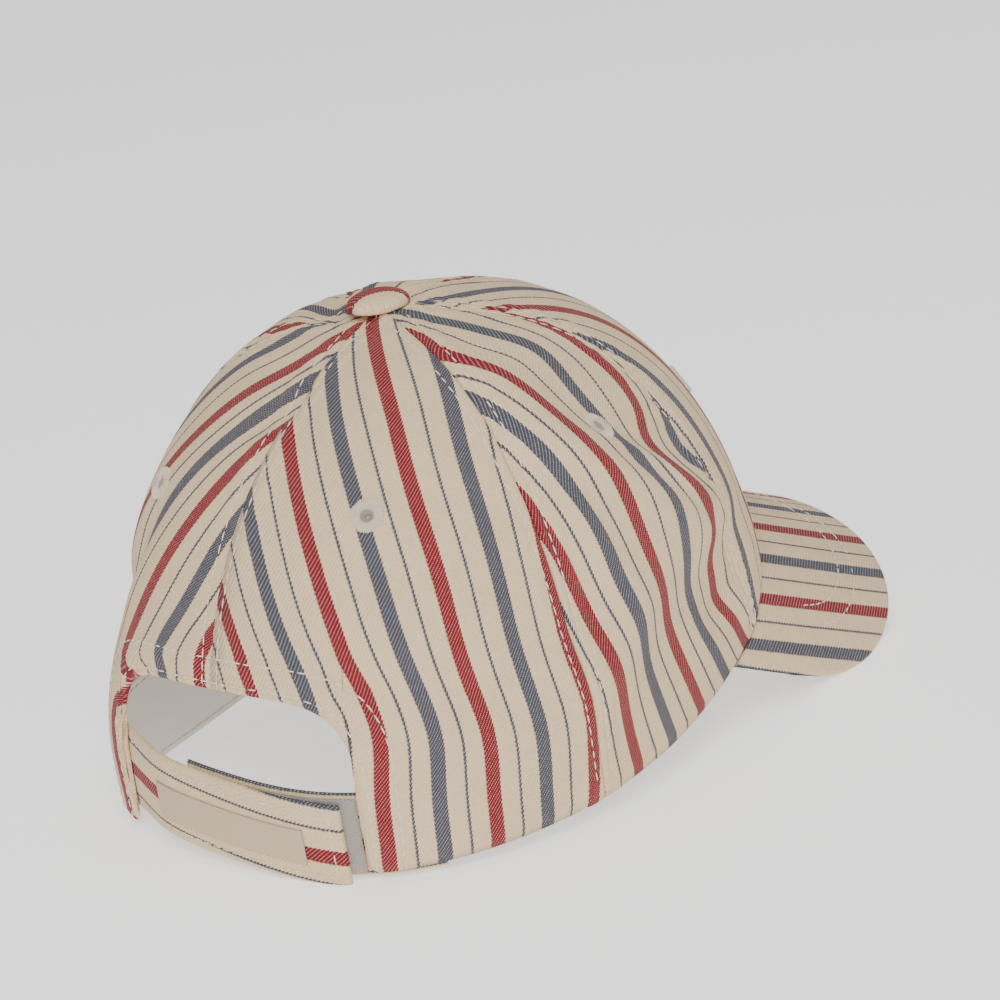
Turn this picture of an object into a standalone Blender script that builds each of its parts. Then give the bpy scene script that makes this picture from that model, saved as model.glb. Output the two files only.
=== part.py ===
"""Child's soft cap: six crown panels, a curved peak, a button, eyelets and a two-strap closure.

The crown frame has its origin on the hem's mean level, +Y to the wearer's back, -Y to the peak,
-X to the wearer's right and +Z up. Sizes are millimetres until a mesh is made. The finished cap
is tipped back until its rear and the sides of its peak stand level on z = 0.
"""

import math

import bmesh
import bpy
import numpy as np
from mathutils import Matrix, Vector

MM = 0.001

# Crown
HALF_WIDTH = 74.0
BACK_REACH = 95.4
FRONT_REACH = 96.3
CROWN_RISE = 111.3
APEX_SETBACK = 6.6
APEX_HOLE_RADIUS = 4.0
CLOTH = 1.6
SEAM_GAP = 0.3
FIT_GAP = 0.3
LINING_GAP = 0.5

# Shape of the hem's plan, as the power of its superellipse
BACK_PLAN_POWER = 2.587
FRONT_PLAN_POWER = 2.182

# Hem height round the head: share of CROWN_RISE, waves in a turn
HEM_WAVES = (
    (-0.1387, 1),
    (0.0600, 2),
    (-0.0131, 3),
)

# Meridian of the crown: power of the reach, power of the rise
MERIDIAN_BACK_POWERS = (1.365, 0.684)
MERIDIAN_SIDE_POWERS = (0.666, 0.618)
MERIDIAN_FRONT_POWERS = (0.683, 1.448)

# Seams, as angles from the back: at the apex, and how much wider at the hem
REAR_SEAM_DEGREES = (60.0, 8.7)
FRONT_SEAM_DEGREES = (113.1, 13.4)

# Dents and folds of the cloth: side (-1 left, 1 right, 0 both), angle from the back, height on
# the panel (0 hem to 1 apex), half spread in degrees, half spread in height, tilt of the fold
# in heights for each degree, depth as a share of HALF_WIDTH (out is positive)
FOLDS = (
    (-1, 38.0, 0.02, 15.0, 0.11, 0.0, 0.085),
    (-1, 52.0, 0.20, 13.0, 0.035, 0.0, -0.030),
    (1, 34.0, 0.21, 8.0, 0.030, 0.004, 0.014),
    (1, 44.0, 0.14, 10.0, 0.035, -0.004, -0.014),
    (1, 91.0, 0.40, 7.0, 0.10, -0.006, -0.024),
    (1, 101.0, 0.30, 6.0, 0.09, -0.004, 0.022),
    (1, 112.0, 0.17, 9.0, 0.07, 0.0, -0.020),
    (-1, 98.0, 0.34, 8.0, 0.09, 0.004, -0.022),
    (1, 180.0, 0.55, 22.0, 0.10, 0.0, -0.012),
    (0, 86.0, 0.82, 20.0, 0.05, 0.0, 0.010),
)

# Rear arch
ARCH_HALF_WIDTH = 43.0
ARCH_TOP = 37.5
ARCH_POWER = 4.6
FOOT_TOE_IN = 1.8
FOOT_CORNER_RADIUS = 3.0

# Peak, cut flat and bent over a cylinder
PEAK_INSET = 3.8
PEAK_HALF_WIDTH = HALF_WIDTH - PEAK_INSET
PEAK_REACH = 47.1
PEAK_BEND_EASE = 2.4
PEAK_BEND = PEAK_HALF_WIDTH + PEAK_BEND_EASE
PEAK_SLOPE_DEGREES = 26.3
PEAK_SHOULDER = 35.3
PEAK_PLAN_POWER = 2.74
PEAK_THICKNESS = 3.0

# Sweatband
BAND_HEIGHT = 28.0
BAND_THICKNESS = 1.2
BAND_HEM_CLEARANCE = 0.6

# Button
BUTTON_RADIUS = 8.7
BUTTON_RIM = 2.6
BUTTON_CROWN = 1.6
BUTTON_POST_PLAY = 1.4
BUTTON_POST_RADIUS = APEX_HOLE_RADIUS - BUTTON_POST_PLAY
BUTTON_FLANGE_GRIP = 1.5
BUTTON_FLANGE_RADIUS = APEX_HOLE_RADIUS + BUTTON_FLANGE_GRIP
BUTTON_FLANGE = 1.0
APEX_FALL = 1.2

# Eyelets
EYELET_RISE_SHARE = 0.432
EYELET_HOLE_RADIUS = 3.3
EYELET_GRIP = 1.2
EYELET_RADIUS = EYELET_HOLE_RADIUS + EYELET_GRIP
EYELET_WALL = 1.4
EYELET_BARREL_RADIUS = EYELET_HOLE_RADIUS - FIT_GAP
EYELET_BORE_RADIUS = EYELET_BARREL_RADIUS - EYELET_WALL
EYELET_LIP = 0.7
EYELET_SEAT = 0.6

# Closure straps
STRAP_WIDTH = 23.4
STRAP_THICKNESS = 1.6
TAPE_WIDTH = 17.0
TAPE_THICKNESS = 0.8
LABEL_WIDTH = 9.6
LABEL_THICKNESS = 0.5

# Strap courses: angle from the back as a share of the foot's own (left is negative), height of
# the strap's middle as a share of STRAP_WIDTH, and how far it has come out from under the foot
# to over the other strap
TAB_COURSE = (
    (-1.45, 0.24, 0.0),
    (-1.22, 0.24, 0.0),
    (-1.02, 0.23, 0.0),
    (-0.51, 0.19, 1.0),
    (-0.12, 0.12, 1.0),
    (0.39, 0.03, 1.0),
    (0.89, -0.08, 1.0),
)
UNDER_COURSE = (
    (-0.35, 0.16, 0.0),
    (0.16, 0.09, 0.0),
    (0.98, 0.01, 0.0),
    (1.49, -0.01, 0.0),
)
TAPE_SPAN_SHARES = (-0.28, 0.95)
LABEL_SPAN_SHARES = (-0.59, 0.71)
BAND_START_SHARE = 1.53
LABEL_DROP_SHARE = 0.05

# How much of the cloth is flattened where the cap rests
REST_FLAT = 1.2

# Mesh resolution
PANEL_COLUMNS = 11
PANEL_ROWS = 15
ARCH_COLUMNS = 12
CORNER_COLUMNS = 3
HEM_COLUMNS = 8
PEAK_COLUMNS = 32
PEAK_ROWS = 6
BAND_COLUMNS = 60
STRAP_COLUMNS = 16
RING_SEGMENTS = 16
BUTTON_SEGMENTS = 24

# Colours, linear
ECRU = (0.65, 0.56, 0.45)
PALE = (0.70, 0.69, 0.66)
GREY = (0.42, 0.42, 0.43)


def mix(angle, back, side, front):
    """Value that runs from side to back or front with the square of the cosine of the angle."""
    cosine = np.cos(angle)
    end = np.where(cosine > 0.0, back, front)
    return side + (end - side) * cosine ** 2


def hem_reach(angle):
    """Plan distance of the hem from the head's axis, a superellipse with its own power each way."""
    sine = np.abs(np.sin(angle)) / HALF_WIDTH
    cosine = np.cos(angle)
    reach = np.where(cosine > 0.0, BACK_REACH, FRONT_REACH)
    power = np.where(cosine > 0.0, BACK_PLAN_POWER, FRONT_PLAN_POWER)
    return (sine ** power + np.abs(cosine / reach) ** power) ** (-1.0 / power)


def hem_height(angle):
    """Height of the hem, a short sum of cosines round the head."""
    return sum(share * CROWN_RISE * np.cos(waves * angle) for share, waves in HEM_WAVES)


def smooth_crown(angle, rise):
    """Crown without its folds: a superellipse in plan times a superellipse up each meridian."""
    out_power = mix(angle, MERIDIAN_BACK_POWERS[0], MERIDIAN_SIDE_POWERS[0], MERIDIAN_FRONT_POWERS[0])
    up_power = mix(angle, MERIDIAN_BACK_POWERS[1], MERIDIAN_SIDE_POWERS[1], MERIDIAN_FRONT_POWERS[1])
    turn = np.clip(rise, 1e-6, 1.0 - 1e-6) * math.pi / 2.0
    out_share = np.cos(turn) ** out_power
    up_share = np.sin(turn) ** up_power
    reach = hem_reach(angle) * out_share
    x = -np.sin(angle) * reach
    y = np.cos(angle) * reach + APEX_SETBACK * (1.0 - out_share)
    hem = hem_height(angle)
    z = hem + (CROWN_RISE - hem) * up_share
    return np.stack([x, y, z], axis=-1)


def surface_normal(surface, angle, rise, step):
    """Outward unit normal of a surface of angle and rise, by central differences."""
    rise = np.clip(rise, 2.0 * step, 1.0 - 2.0 * step)
    round_head = surface(angle + step, rise) - surface(angle - step, rise)
    up_head = surface(angle, rise + step) - surface(angle, rise - step)
    normal = np.cross(round_head, up_head)
    return normal / np.linalg.norm(normal, axis=-1, keepdims=True)


def crown_normal(angle, rise):
    """Outward unit normal of the smooth crown."""
    return surface_normal(smooth_crown, angle, rise, 1e-3)


def fold_depth(angle, rise):
    """Sum of the rows of FOLDS, each a smooth bump or dent on the crown."""
    degrees = np.degrees(angle)
    depth = np.zeros(np.broadcast(angle, rise).shape)
    for side, place, height, spread, tall, tilt, share in FOLDS:
        for sign in ((-1, 1) if side == 0 else (side,)):
            away = (degrees * sign - place + 180.0) % 360.0 - 180.0
            across = away / spread
            along = (rise - height - tilt * away) / tall
            depth = depth + np.exp(-across ** 2 - along ** 2) * HALF_WIDTH * share
    return depth


def crown_skin(angle, rise, depth):
    """Point of the folded crown, a given depth inside its outer face."""
    angle, rise = np.broadcast_arrays(angle, rise)
    out = fold_depth(angle, rise) - depth
    return smooth_crown(angle, rise) + crown_normal(angle, rise) * out[..., None]


def folded_crown(angle, rise):
    """Outer face of the folded crown."""
    return crown_skin(angle, rise, 0.0)


def rise_at_height(angle, height):
    """Place up the meridian where the smooth crown has a given height."""
    hem = hem_height(angle)
    up_power = mix(angle, MERIDIAN_BACK_POWERS[1], MERIDIAN_SIDE_POWERS[1], MERIDIAN_FRONT_POWERS[1])
    up_share = np.clip((height - hem) / (CROWN_RISE - hem), 0.0, 1.0)
    return np.arcsin(up_share ** (1.0 / up_power)) * 2.0 / math.pi


def wall_point(angle, height, depth):
    """Point at a height on the crown's wall, which runs on straight down below the hem."""
    rise = rise_at_height(angle, height)
    point = crown_skin(angle, rise, depth)
    below = np.minimum(height - hem_height(angle), 0.0)
    point[..., 2] += below
    return point


def top_rise(angle):
    """Place up the meridian where the apex hole starts."""
    out_power = mix(angle, MERIDIAN_BACK_POWERS[0], MERIDIAN_SIDE_POWERS[0], MERIDIAN_FRONT_POWERS[0])
    share = APEX_HOLE_RADIUS / hem_reach(angle)
    return np.arccos(share ** (1.0 / out_power)) * 2.0 / math.pi


def angle_on_wall(x, height):
    """Angle from the back of a point of the crown with a given x and height."""
    angle = np.arcsin(np.clip(-x / BACK_REACH, -1.0, 1.0))
    for _ in range(6):
        rise = rise_at_height(angle, height)
        out_power = mix(angle, MERIDIAN_BACK_POWERS[0], MERIDIAN_SIDE_POWERS[0], MERIDIAN_FRONT_POWERS[0])
        reach = hem_reach(angle) * np.cos(rise * math.pi / 2.0) ** out_power
        angle = np.arcsin(np.clip(-x / reach, -1.0, 1.0))
    return angle


def foot_floor():
    """Height where the straight side of the arch ends in the foot's round corner."""
    return hem_height(math.radians(REAR_SEAM_DEGREES[0] / 2.0)) + FOOT_CORNER_RADIUS


def foot_angle():
    """Angle from the back of the foot's inner edge."""
    return float(angle_on_wall(FOOT_TOE_IN - ARCH_HALF_WIDTH, foot_floor()))


def arch_edge():
    """Angles and rises of the right half of the arch's edge, from its top down to the foot."""
    turn = np.linspace(0.0, 1.0, ARCH_COLUMNS + 1) * math.pi / 2.0
    floor = foot_floor()
    down = 1.0 - np.cos(turn) ** (2.0 / ARCH_POWER)
    x = -(ARCH_HALF_WIDTH - FOOT_TOE_IN * down) * np.sin(turn) ** (2.0 / ARCH_POWER)
    height = floor + (ARCH_TOP - floor) * (1.0 - down)
    angle = angle_on_wall(x, height)
    corner = np.linspace(0.0, 1.0, CORNER_COLUMNS + 1)[1:] * math.pi / 2.0
    reach = hem_reach(angle[-1])
    corner_angle = angle[-1] + FOOT_CORNER_RADIUS * (1.0 - np.cos(corner)) / reach
    lift = FOOT_CORNER_RADIUS * (1.0 - np.sin(corner))
    corner_height = hem_height(corner_angle) + lift
    angle = np.concatenate([angle, corner_angle])
    height = np.concatenate([height, corner_height])
    return angle, rise_at_height(angle, height)


def seam_angle(seam, rise):
    """Angle of a seam at a place up the crown."""
    return np.radians(seam[0] + seam[1] * (1.0 - rise))


def panel_grid(near, far, arch):
    """Angles and rises over one right-hand panel between two seams, trimmed for the seam gap."""
    rows = np.linspace(0.0, 1.0, PANEL_ROWS + 1)
    climb = 0.35 * rows + 0.65 * (1.0 - np.cos(math.pi * rows)) / 2.0
    if arch:
        low_angle, low_rise = arch_edge()
        count = HEM_COLUMNS
        share = np.linspace(0.0, 1.0, count + 1)[1:]
        hem_angles = low_angle[-1] + (seam_angle(far, 0.0) - low_angle[-1]) * share
        low_angle = np.concatenate([low_angle, hem_angles])
        low_rise = np.concatenate([low_rise, np.zeros(count)])
        low_share = low_angle / low_angle[-1]
        spread = np.linspace(0.0, 1.0, len(low_angle))
        top_share = 0.45 * low_share + 0.55 * spread
    else:
        top_share = np.linspace(0.0, 1.0, PANEL_COLUMNS + 1)
        low_angle = seam_angle(near, 0.0) + (seam_angle(far, 0.0) - seam_angle(near, 0.0)) * top_share
        low_rise = np.zeros(len(low_angle))
    low_place = (low_angle - seam_angle(near, low_rise))
    low_place = low_place / (seam_angle(far, low_rise) - seam_angle(near, low_rise))
    place = low_place[:, None] * (1.0 - climb) + top_share[:, None] * climb
    middle = seam_angle(near, 1.0) + (seam_angle(far, 1.0) - seam_angle(near, 1.0)) * top_share
    rise = low_rise[:, None] * (1.0 - climb) + top_rise(middle)[:, None] * climb
    start = seam_angle(near, rise)
    end = seam_angle(far, rise)
    reach = np.linalg.norm(smooth_crown(start, rise)[..., :2] - (0.0, APEX_SETBACK), axis=-1)
    trim = SEAM_GAP / 2.0 / np.maximum(reach, APEX_HOLE_RADIUS)
    start = start + trim
    end = end - trim
    return start + (end - start) * place, rise


def shell_faces(columns, rows):
    """Faces of a closed sheet whose outer and inner grids have the given points each way."""
    index = np.arange(columns * rows).reshape(columns, rows)
    inner = index + columns * rows
    quads = [
        np.stack([index[:-1, :-1], index[:-1, 1:], index[1:, 1:], index[1:, :-1]], axis=-1),
        np.stack([inner[:-1, :-1], inner[1:, :-1], inner[1:, 1:], inner[:-1, 1:]], axis=-1),
        np.stack([index[:-1, 0], index[1:, 0], inner[1:, 0], inner[:-1, 0]], axis=-1),
        np.stack([index[1:, -1], index[:-1, -1], inner[:-1, -1], inner[1:, -1]], axis=-1),
        np.stack([index[0, 1:], index[0, :-1], inner[0, :-1], inner[0, 1:]], axis=-1),
        np.stack([index[-1, :-1], index[-1, 1:], inner[-1, 1:], inner[-1, :-1]], axis=-1),
    ]
    return np.concatenate([part.reshape(-1, 4) for part in quads])


def crown_panel(name, near, far, side, arch=False):
    """Shell of one crown panel between two seams, on the right (1) or the left (-1)."""
    angle, rise = panel_grid(near, far, arch)
    outer = crown_skin(side * angle, rise, 0.0)
    inner = crown_skin(side * angle, rise, CLOTH)
    return shell(name, outer, inner, ECRU)


def shell(name, outer, inner, colour):
    """Closed sheet between an outer and an inner grid of points."""
    points = np.concatenate([outer.reshape(-1, 3), inner.reshape(-1, 3)])
    return name, points, shell_faces(*outer.shape[:2]), colour


def turned(name, profile, segments, place, axis, colour):
    """Body turned from a profile of radius and height pairs, on a place and an axis.

    A profile that starts and ends on the axis makes a solid, any other is closed into a ring.
    """
    radius, height = np.array(profile, dtype=float).T
    turn = np.linspace(0.0, 2.0 * math.pi, segments, endpoint=False)
    x = np.outer(np.cos(turn), radius)
    y = np.outer(np.sin(turn), radius)
    z = np.broadcast_to(height, x.shape)
    count = len(profile)
    index = np.arange(segments * count).reshape(segments, count)
    ahead = np.roll(index, -1, axis=0)
    faces = np.stack([index, ahead, np.roll(ahead, -1, axis=1), np.roll(index, -1, axis=1)], axis=-1)
    if radius[0] == 0.0:
        faces = faces[:, :-1]
    points = np.stack([x, y, z], axis=-1).reshape(-1, 3) @ turn_to(axis).T + place
    return name, points, faces.reshape(-1, 4), colour


def turn_to(axis):
    """Matrix that turns +Z onto an axis."""
    return np.array(Vector((0.0, 0.0, 1.0)).rotation_difference(Vector(axis)).to_matrix())


def eyelet_frame(near, far, side):
    """Point on the crown's outer face and the outward axis of a panel's eyelet."""
    angle = side * (seam_angle(near, EYELET_RISE_SHARE) + seam_angle(far, EYELET_RISE_SHARE)) / 2.0
    axis = surface_normal(folded_crown, angle, EYELET_RISE_SHARE, 0.03)
    return folded_crown(angle, EYELET_RISE_SHARE), axis


def eyelet(name, place, axis):
    """Ring that lines the eyelet's hole, with a lip outside and one inside."""
    inside = -(CLOTH + EYELET_SEAT)
    outside = EYELET_SEAT + EYELET_LIP
    profile = (
        (EYELET_BORE_RADIUS, inside - EYELET_LIP),
        (EYELET_BORE_RADIUS, outside - EYELET_LIP / 2.0),
        (EYELET_BORE_RADIUS + EYELET_LIP, outside),
        (EYELET_RADIUS - EYELET_LIP, outside),
        (EYELET_RADIUS, EYELET_SEAT),
        (EYELET_BARREL_RADIUS, EYELET_SEAT),
        (EYELET_BARREL_RADIUS, inside),
        (EYELET_RADIUS - EYELET_LIP / 2.0, inside),
        (EYELET_RADIUS - EYELET_LIP, inside - EYELET_LIP),
    )
    return turned(name, profile, RING_SEGMENTS, place, axis, PALE)


def button():
    """Covered button over the apex, held by a post and a flange inside the crown."""
    flange_top = -(CLOTH + APEX_FALL + FIT_GAP)
    rim_top = FIT_GAP + BUTTON_RIM
    edge = BUTTON_RIM / 3.0
    profile = [
        (0.0, flange_top - BUTTON_FLANGE),
        (BUTTON_FLANGE_RADIUS, flange_top - BUTTON_FLANGE),
        (BUTTON_FLANGE_RADIUS, flange_top),
        (BUTTON_POST_RADIUS, flange_top),
        (BUTTON_POST_RADIUS, FIT_GAP),
        (BUTTON_RADIUS - edge, FIT_GAP),
        (BUTTON_RADIUS, FIT_GAP + edge),
        (BUTTON_RADIUS, rim_top - edge),
    ]
    for share in (0.93, 0.75, 0.5, 0.25, 0.0):
        profile.append((BUTTON_RADIUS * share, rim_top + BUTTON_CROWN * (1.0 - share ** 2)))
    place = (0.0, APEX_SETBACK, CROWN_RISE)
    return turned("button", profile, BUTTON_SEGMENTS, place, (0.0, 0.0, 1.0), ECRU)


def peak_top():
    """Upper face of the peak: straight columns from the hem to a superellipse, bent and sloped."""
    turn = np.linspace(0.0, math.pi, PEAK_COLUMNS + 1)
    cosine = np.cos(turn)
    power = 2.0 / PEAK_PLAN_POWER
    x = -PEAK_HALF_WIDTH * np.sign(cosine) * np.abs(cosine) ** power
    edge_y = PEAK_SHOULDER - FRONT_REACH - (PEAK_SHOULDER + PEAK_REACH) * np.sin(turn) ** power
    root_share = (np.abs(x) / HALF_WIDTH) ** FRONT_PLAN_POWER
    root_y = -FRONT_REACH * (1.0 - root_share) ** (1.0 / FRONT_PLAN_POWER)
    root_angle = np.arctan2(-x, root_y)
    root_z = hem_height(root_angle) - FIT_GAP
    out = np.linspace(0.0, 1.0, PEAK_ROWS + 1)
    grid_x = np.broadcast_to(x[:, None], (len(x), len(out)))
    grid_y = root_y[:, None] + (edge_y - root_y)[:, None] * out
    sag = PEAK_BEND - np.sqrt(PEAK_BEND ** 2 - grid_x ** 2)
    fall = math.tan(math.radians(PEAK_SLOPE_DEGREES)) * (grid_y + FRONT_REACH)
    grid_z = hem_height(math.pi) - sag + fall
    grid_z = grid_z + (root_z - grid_z[:, 0])[:, None] * (1.0 - out) ** 2
    top = np.stack([grid_x, grid_y, grid_z], axis=-1)
    tongue = top[:, 0] - crown_normal(root_angle, np.zeros(len(x))) * (1.0, 1.0, 0.0) * CLOTH
    return np.concatenate([tongue[:, None], top], axis=1)


def grid_normal(points):
    """Unit normals of a grid of points, by differences along its rows and columns."""
    normal = np.cross(np.gradient(points, axis=1), np.gradient(points, axis=0))
    return normal / np.linalg.norm(normal, axis=-1, keepdims=True)


def peak():
    """Curved peak, whose root lies under the crown's hem."""
    top = peak_top()
    normal = grid_normal(top[:, 1:])
    normal = np.concatenate([normal[:, :1], normal], axis=1)
    normal = normal * np.sign(normal[..., 2:].sum())
    return shell("peak", top, top - normal * PEAK_THICKNESS, ECRU)


def sweatband():
    """Band inside the hem, from one foot of the arch round the front to the other."""
    start = foot_angle() * BAND_START_SHARE
    angle = np.linspace(start, 2.0 * math.pi - start, BAND_COLUMNS + 1)[:, None]
    height = hem_height(angle) + np.linspace(BAND_HEM_CLEARANCE, BAND_HEIGHT, 4)
    outer = wall_point(angle, height, CLOTH + LINING_GAP)
    inner = wall_point(angle, height, CLOTH + LINING_GAP + BAND_THICKNESS)
    return shell("sweatband", outer, inner, PALE)


def along(course, column, place):
    """Value of a course's column at a place along it, by a smooth cubic through its rows."""
    rows = np.array(course)
    knots = rows[:, 0]
    values = rows[:, column]
    slopes = np.gradient(values, knots)
    row = np.clip(np.searchsorted(knots, place) - 1, 0, len(knots) - 2)
    length = knots[row + 1] - knots[row]
    share = (place - knots[row]) / length
    start = (1.0 + 2.0 * share) * (1.0 - share) ** 2 * values[row]
    end = share ** 2 * (3.0 - 2.0 * share) * values[row + 1]
    lean = share * (1.0 - share) ** 2 * slopes[row] - share ** 2 * (1.0 - share) * slopes[row + 1]
    return start + end + length * lean


def strap(name, course, span, size, drop, seat, colour):
    """Strap of a width and thickness over a span of a course, seated out from the course's face."""
    width, thickness = size
    place = np.linspace(*span, STRAP_COLUMNS + 1)[:, None]
    across = np.linspace(-0.5, 0.5, 3) * width
    height = (along(course, 1, place) - drop) * STRAP_WIDTH + across
    tucked = CLOTH + LINING_GAP
    lifted = TAPE_THICKNESS + STRAP_THICKNESS + 2.0 * FIT_GAP
    depth = np.broadcast_to(tucked - lifted * along(course, 2, place) - seat, height.shape)
    angle = np.broadcast_to(place * foot_angle(), height.shape)
    outer = wall_point(angle, height, depth)
    inner = wall_point(angle, height, depth + thickness)
    return shell(name, outer, inner, colour)


def closure():
    """Tab from the left foot over the strap from the right foot, with its tape and its label."""
    tab_span = (TAB_COURSE[0][0], TAB_COURSE[-1][0])
    under_span = (UNDER_COURSE[0][0], UNDER_COURSE[-1][0])
    tape_seat = FIT_GAP + TAPE_THICKNESS
    label_seat = FIT_GAP + LABEL_THICKNESS
    strap_size = (STRAP_WIDTH, STRAP_THICKNESS)
    tape_size = (TAPE_WIDTH, TAPE_THICKNESS)
    label_size = (LABEL_WIDTH, LABEL_THICKNESS)
    drop = LABEL_DROP_SHARE
    return [
        strap("tab_strap", TAB_COURSE, tab_span, strap_size, 0.0, 0.0, ECRU),
        strap("under_strap", UNDER_COURSE, under_span, strap_size, 0.0, 0.0, ECRU),
        strap("loop_tape", UNDER_COURSE, TAPE_SPAN_SHARES, tape_size, 0.0, tape_seat, GREY),
        strap("label", TAB_COURSE, LABEL_SPAN_SHARES, label_size, drop, label_seat, PALE),
    ]


def tip_back(pitch):
    """Matrix that tips the crown frame back by an angle."""
    return np.array(Matrix.Rotation(-pitch, 3, "X"))


def rest_pitch(cloud):
    """Angle at which the lowest point of the rear and the lowest point of the front are level."""
    pitch = 0.0
    for _ in range(8):
        tipped = cloud @ tip_back(pitch).T
        rear = tipped[tipped[:, 1] > 0.0]
        front = tipped[tipped[:, 1] < 0.0]
        rear_foot = rear[rear[:, 2].argmin()]
        front_foot = front[front[:, 2].argmin()]
        pitch += math.atan2(rear_foot[2] - front_foot[2], rear_foot[1] - front_foot[1])
    return pitch


def stand(pieces):
    """Tips the pieces back, sets them on z = 0 and flattens the cloth that meets the surface."""
    turn = tip_back(rest_pitch(np.concatenate([points for _, points, _, _ in pieces])))
    tipped = [(name, points @ turn.T, faces, colour) for name, points, faces, colour in pieces]
    cloud = np.concatenate([points for _, points, _, _ in tipped])
    low = cloud.min(axis=0)
    centre = (low + cloud.max(axis=0)) / 2.0
    shift = np.array([-centre[0], -centre[1], -(low[2] + REST_FLAT)])
    standing = []
    for name, points, faces, colour in tipped:
        points = points + shift
        points[:, 2] = np.maximum(points[:, 2], 0.0)
        standing.append((name, points, faces, colour))
    return standing, turn, shift


def cloth_material(name, colour):
    """Plain cloth material with the piece's own colour."""
    made = bpy.data.materials.new(name)
    made.use_nodes = True
    shader = made.node_tree.nodes["Principled BSDF"]
    shader.inputs["Base Color"].default_value = (*colour, 1.0)
    shader.inputs["Roughness"].default_value = 0.9
    shader.inputs["Metallic"].default_value = 0.0
    return made


def mesh_object(name, points, faces, colour):
    """Named object from millimetre points, welded at its poles, with every face turned outward."""
    mesh = bpy.data.meshes.new(name)
    mesh.from_pydata((points * MM).tolist(), [], faces.tolist())
    shape = bmesh.new()
    shape.from_mesh(mesh)
    bmesh.ops.remove_doubles(shape, verts=shape.verts, dist=1e-7)
    bmesh.ops.recalc_face_normals(shape, faces=shape.faces)
    shape.to_mesh(mesh)
    shape.free()
    mesh.materials.append(cloth_material(name + "_cloth", colour))
    made = bpy.data.objects.new(name, mesh)
    bpy.context.scene.collection.objects.link(made)
    return made


def pierce(panel, place, axis):
    """Cuts the eyelet's hole through a panel with a hidden cylinder."""
    bpy.ops.mesh.primitive_cylinder_add(
        vertices=RING_SEGMENTS,
        radius=EYELET_HOLE_RADIUS * MM,
        depth=8.0 * CLOTH * MM,
    )
    cutter = bpy.context.object
    cutter.name = panel.name + "_eyelet_cutter"
    cutter.matrix_world = Matrix.Translation(Vector(place) * MM) @ Matrix(turn_to(axis)).to_4x4()
    cutter.hide_render = True
    cutter.display_type = "WIRE"
    cut = panel.modifiers.new("eyelet_hole", "BOOLEAN")
    cut.operation = "DIFFERENCE"
    cut.solver = "EXACT"
    cut.object = cutter


def main():
    """Builds every piece of the cap, stands it and makes its objects."""
    for old in list(bpy.data.objects):
        bpy.data.objects.remove(old)
    back = (0.0, 0.0)
    front = (180.0, 0.0)
    pieces = [button(), peak(), sweatband(), *closure()]
    holes = {}
    for place, near, far in (
        ("rear", back, REAR_SEAM_DEGREES),
        ("middle", REAR_SEAM_DEGREES, FRONT_SEAM_DEGREES),
        ("front", FRONT_SEAM_DEGREES, front),
    ):
        for hand, side in (("right", 1), ("left", -1)):
            panel = f"panel_{place}_{hand}"
            pieces.append(crown_panel(panel, near, far, side, arch=place == "rear"))
            frame = eyelet_frame(near, far, side)
            pieces.append(eyelet(f"eyelet_{place}_{hand}", *frame))
            holes[panel] = frame
    standing, turn, shift = stand(pieces)
    for name, points, faces, colour in standing:
        made = mesh_object(name, points, faces, colour)
        if name in holes:
            hole, axis = holes[name]
            pierce(made, turn @ hole + shift, turn @ axis)


main()
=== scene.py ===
"""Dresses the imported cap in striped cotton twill, with its seams, stitching, eyelets and closure.

The crown frame is the one that the solids were drawn in: origin on the hem's mean level, +Y to the
wearer's back, -X to the wearer's right, +Z up, millimetres. Pieces are worked out there, tipped
back to where the cap rests and made in metres.
"""

import math

import bmesh
import bpy
import numpy as np
from mathutils import Matrix, Vector


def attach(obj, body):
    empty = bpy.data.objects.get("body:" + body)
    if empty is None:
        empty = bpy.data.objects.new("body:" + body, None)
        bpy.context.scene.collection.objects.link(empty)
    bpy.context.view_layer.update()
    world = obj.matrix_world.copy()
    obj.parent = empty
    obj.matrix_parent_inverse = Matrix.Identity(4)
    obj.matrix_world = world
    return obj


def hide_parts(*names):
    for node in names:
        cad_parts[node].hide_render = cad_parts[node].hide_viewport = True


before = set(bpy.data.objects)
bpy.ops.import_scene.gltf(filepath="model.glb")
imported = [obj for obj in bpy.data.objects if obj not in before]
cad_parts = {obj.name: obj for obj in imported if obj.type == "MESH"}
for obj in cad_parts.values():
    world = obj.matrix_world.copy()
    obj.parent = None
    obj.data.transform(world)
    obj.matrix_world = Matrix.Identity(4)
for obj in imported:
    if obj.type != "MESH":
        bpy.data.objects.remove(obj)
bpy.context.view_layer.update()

bl_info = {
    "name": "Striped cap",
    "version": (1, 0, 0),
    "blender": (4, 5, 0),
    "location": "View3D > Sidebar > Cap",
    "description": "Makes the cloth, stitching and fittings of a striped six-panel cap",
    "category": "Object",
}

MM = 0.001

# The crown, as the solids have it
HALF_WIDTH = 74.0
BACK_REACH = 95.4
FRONT_REACH = 96.3
CROWN_RISE = 111.3
APEX_SETBACK = 6.6
APEX_HOLE_RADIUS = 4.0
APEX_LIFT = 1.6
APEX_LIFT_SPREAD = 0.085
CLOTH = 1.6
SEAM_ROLL = 0.45
FIT_GAP = 0.3
LINING_GAP = 0.5
BACK_PLAN_POWER = 2.587
FRONT_PLAN_POWER = 2.182
HEM_WAVES = ((-0.1387, 1), (0.0600, 2), (-0.0131, 3))
MERIDIAN_BACK_POWERS = (1.365, 0.684)
MERIDIAN_SIDE_POWERS = (0.666, 0.618)
MERIDIAN_FRONT_POWERS = (0.683, 1.448)
REAR_SEAM_DEGREES = (60.0, 8.7)
FRONT_SEAM_DEGREES = (113.1, 13.4)
BACK_DEGREES = (0.0, 0.0)
FRONT_DEGREES = (180.0, 0.0)
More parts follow.
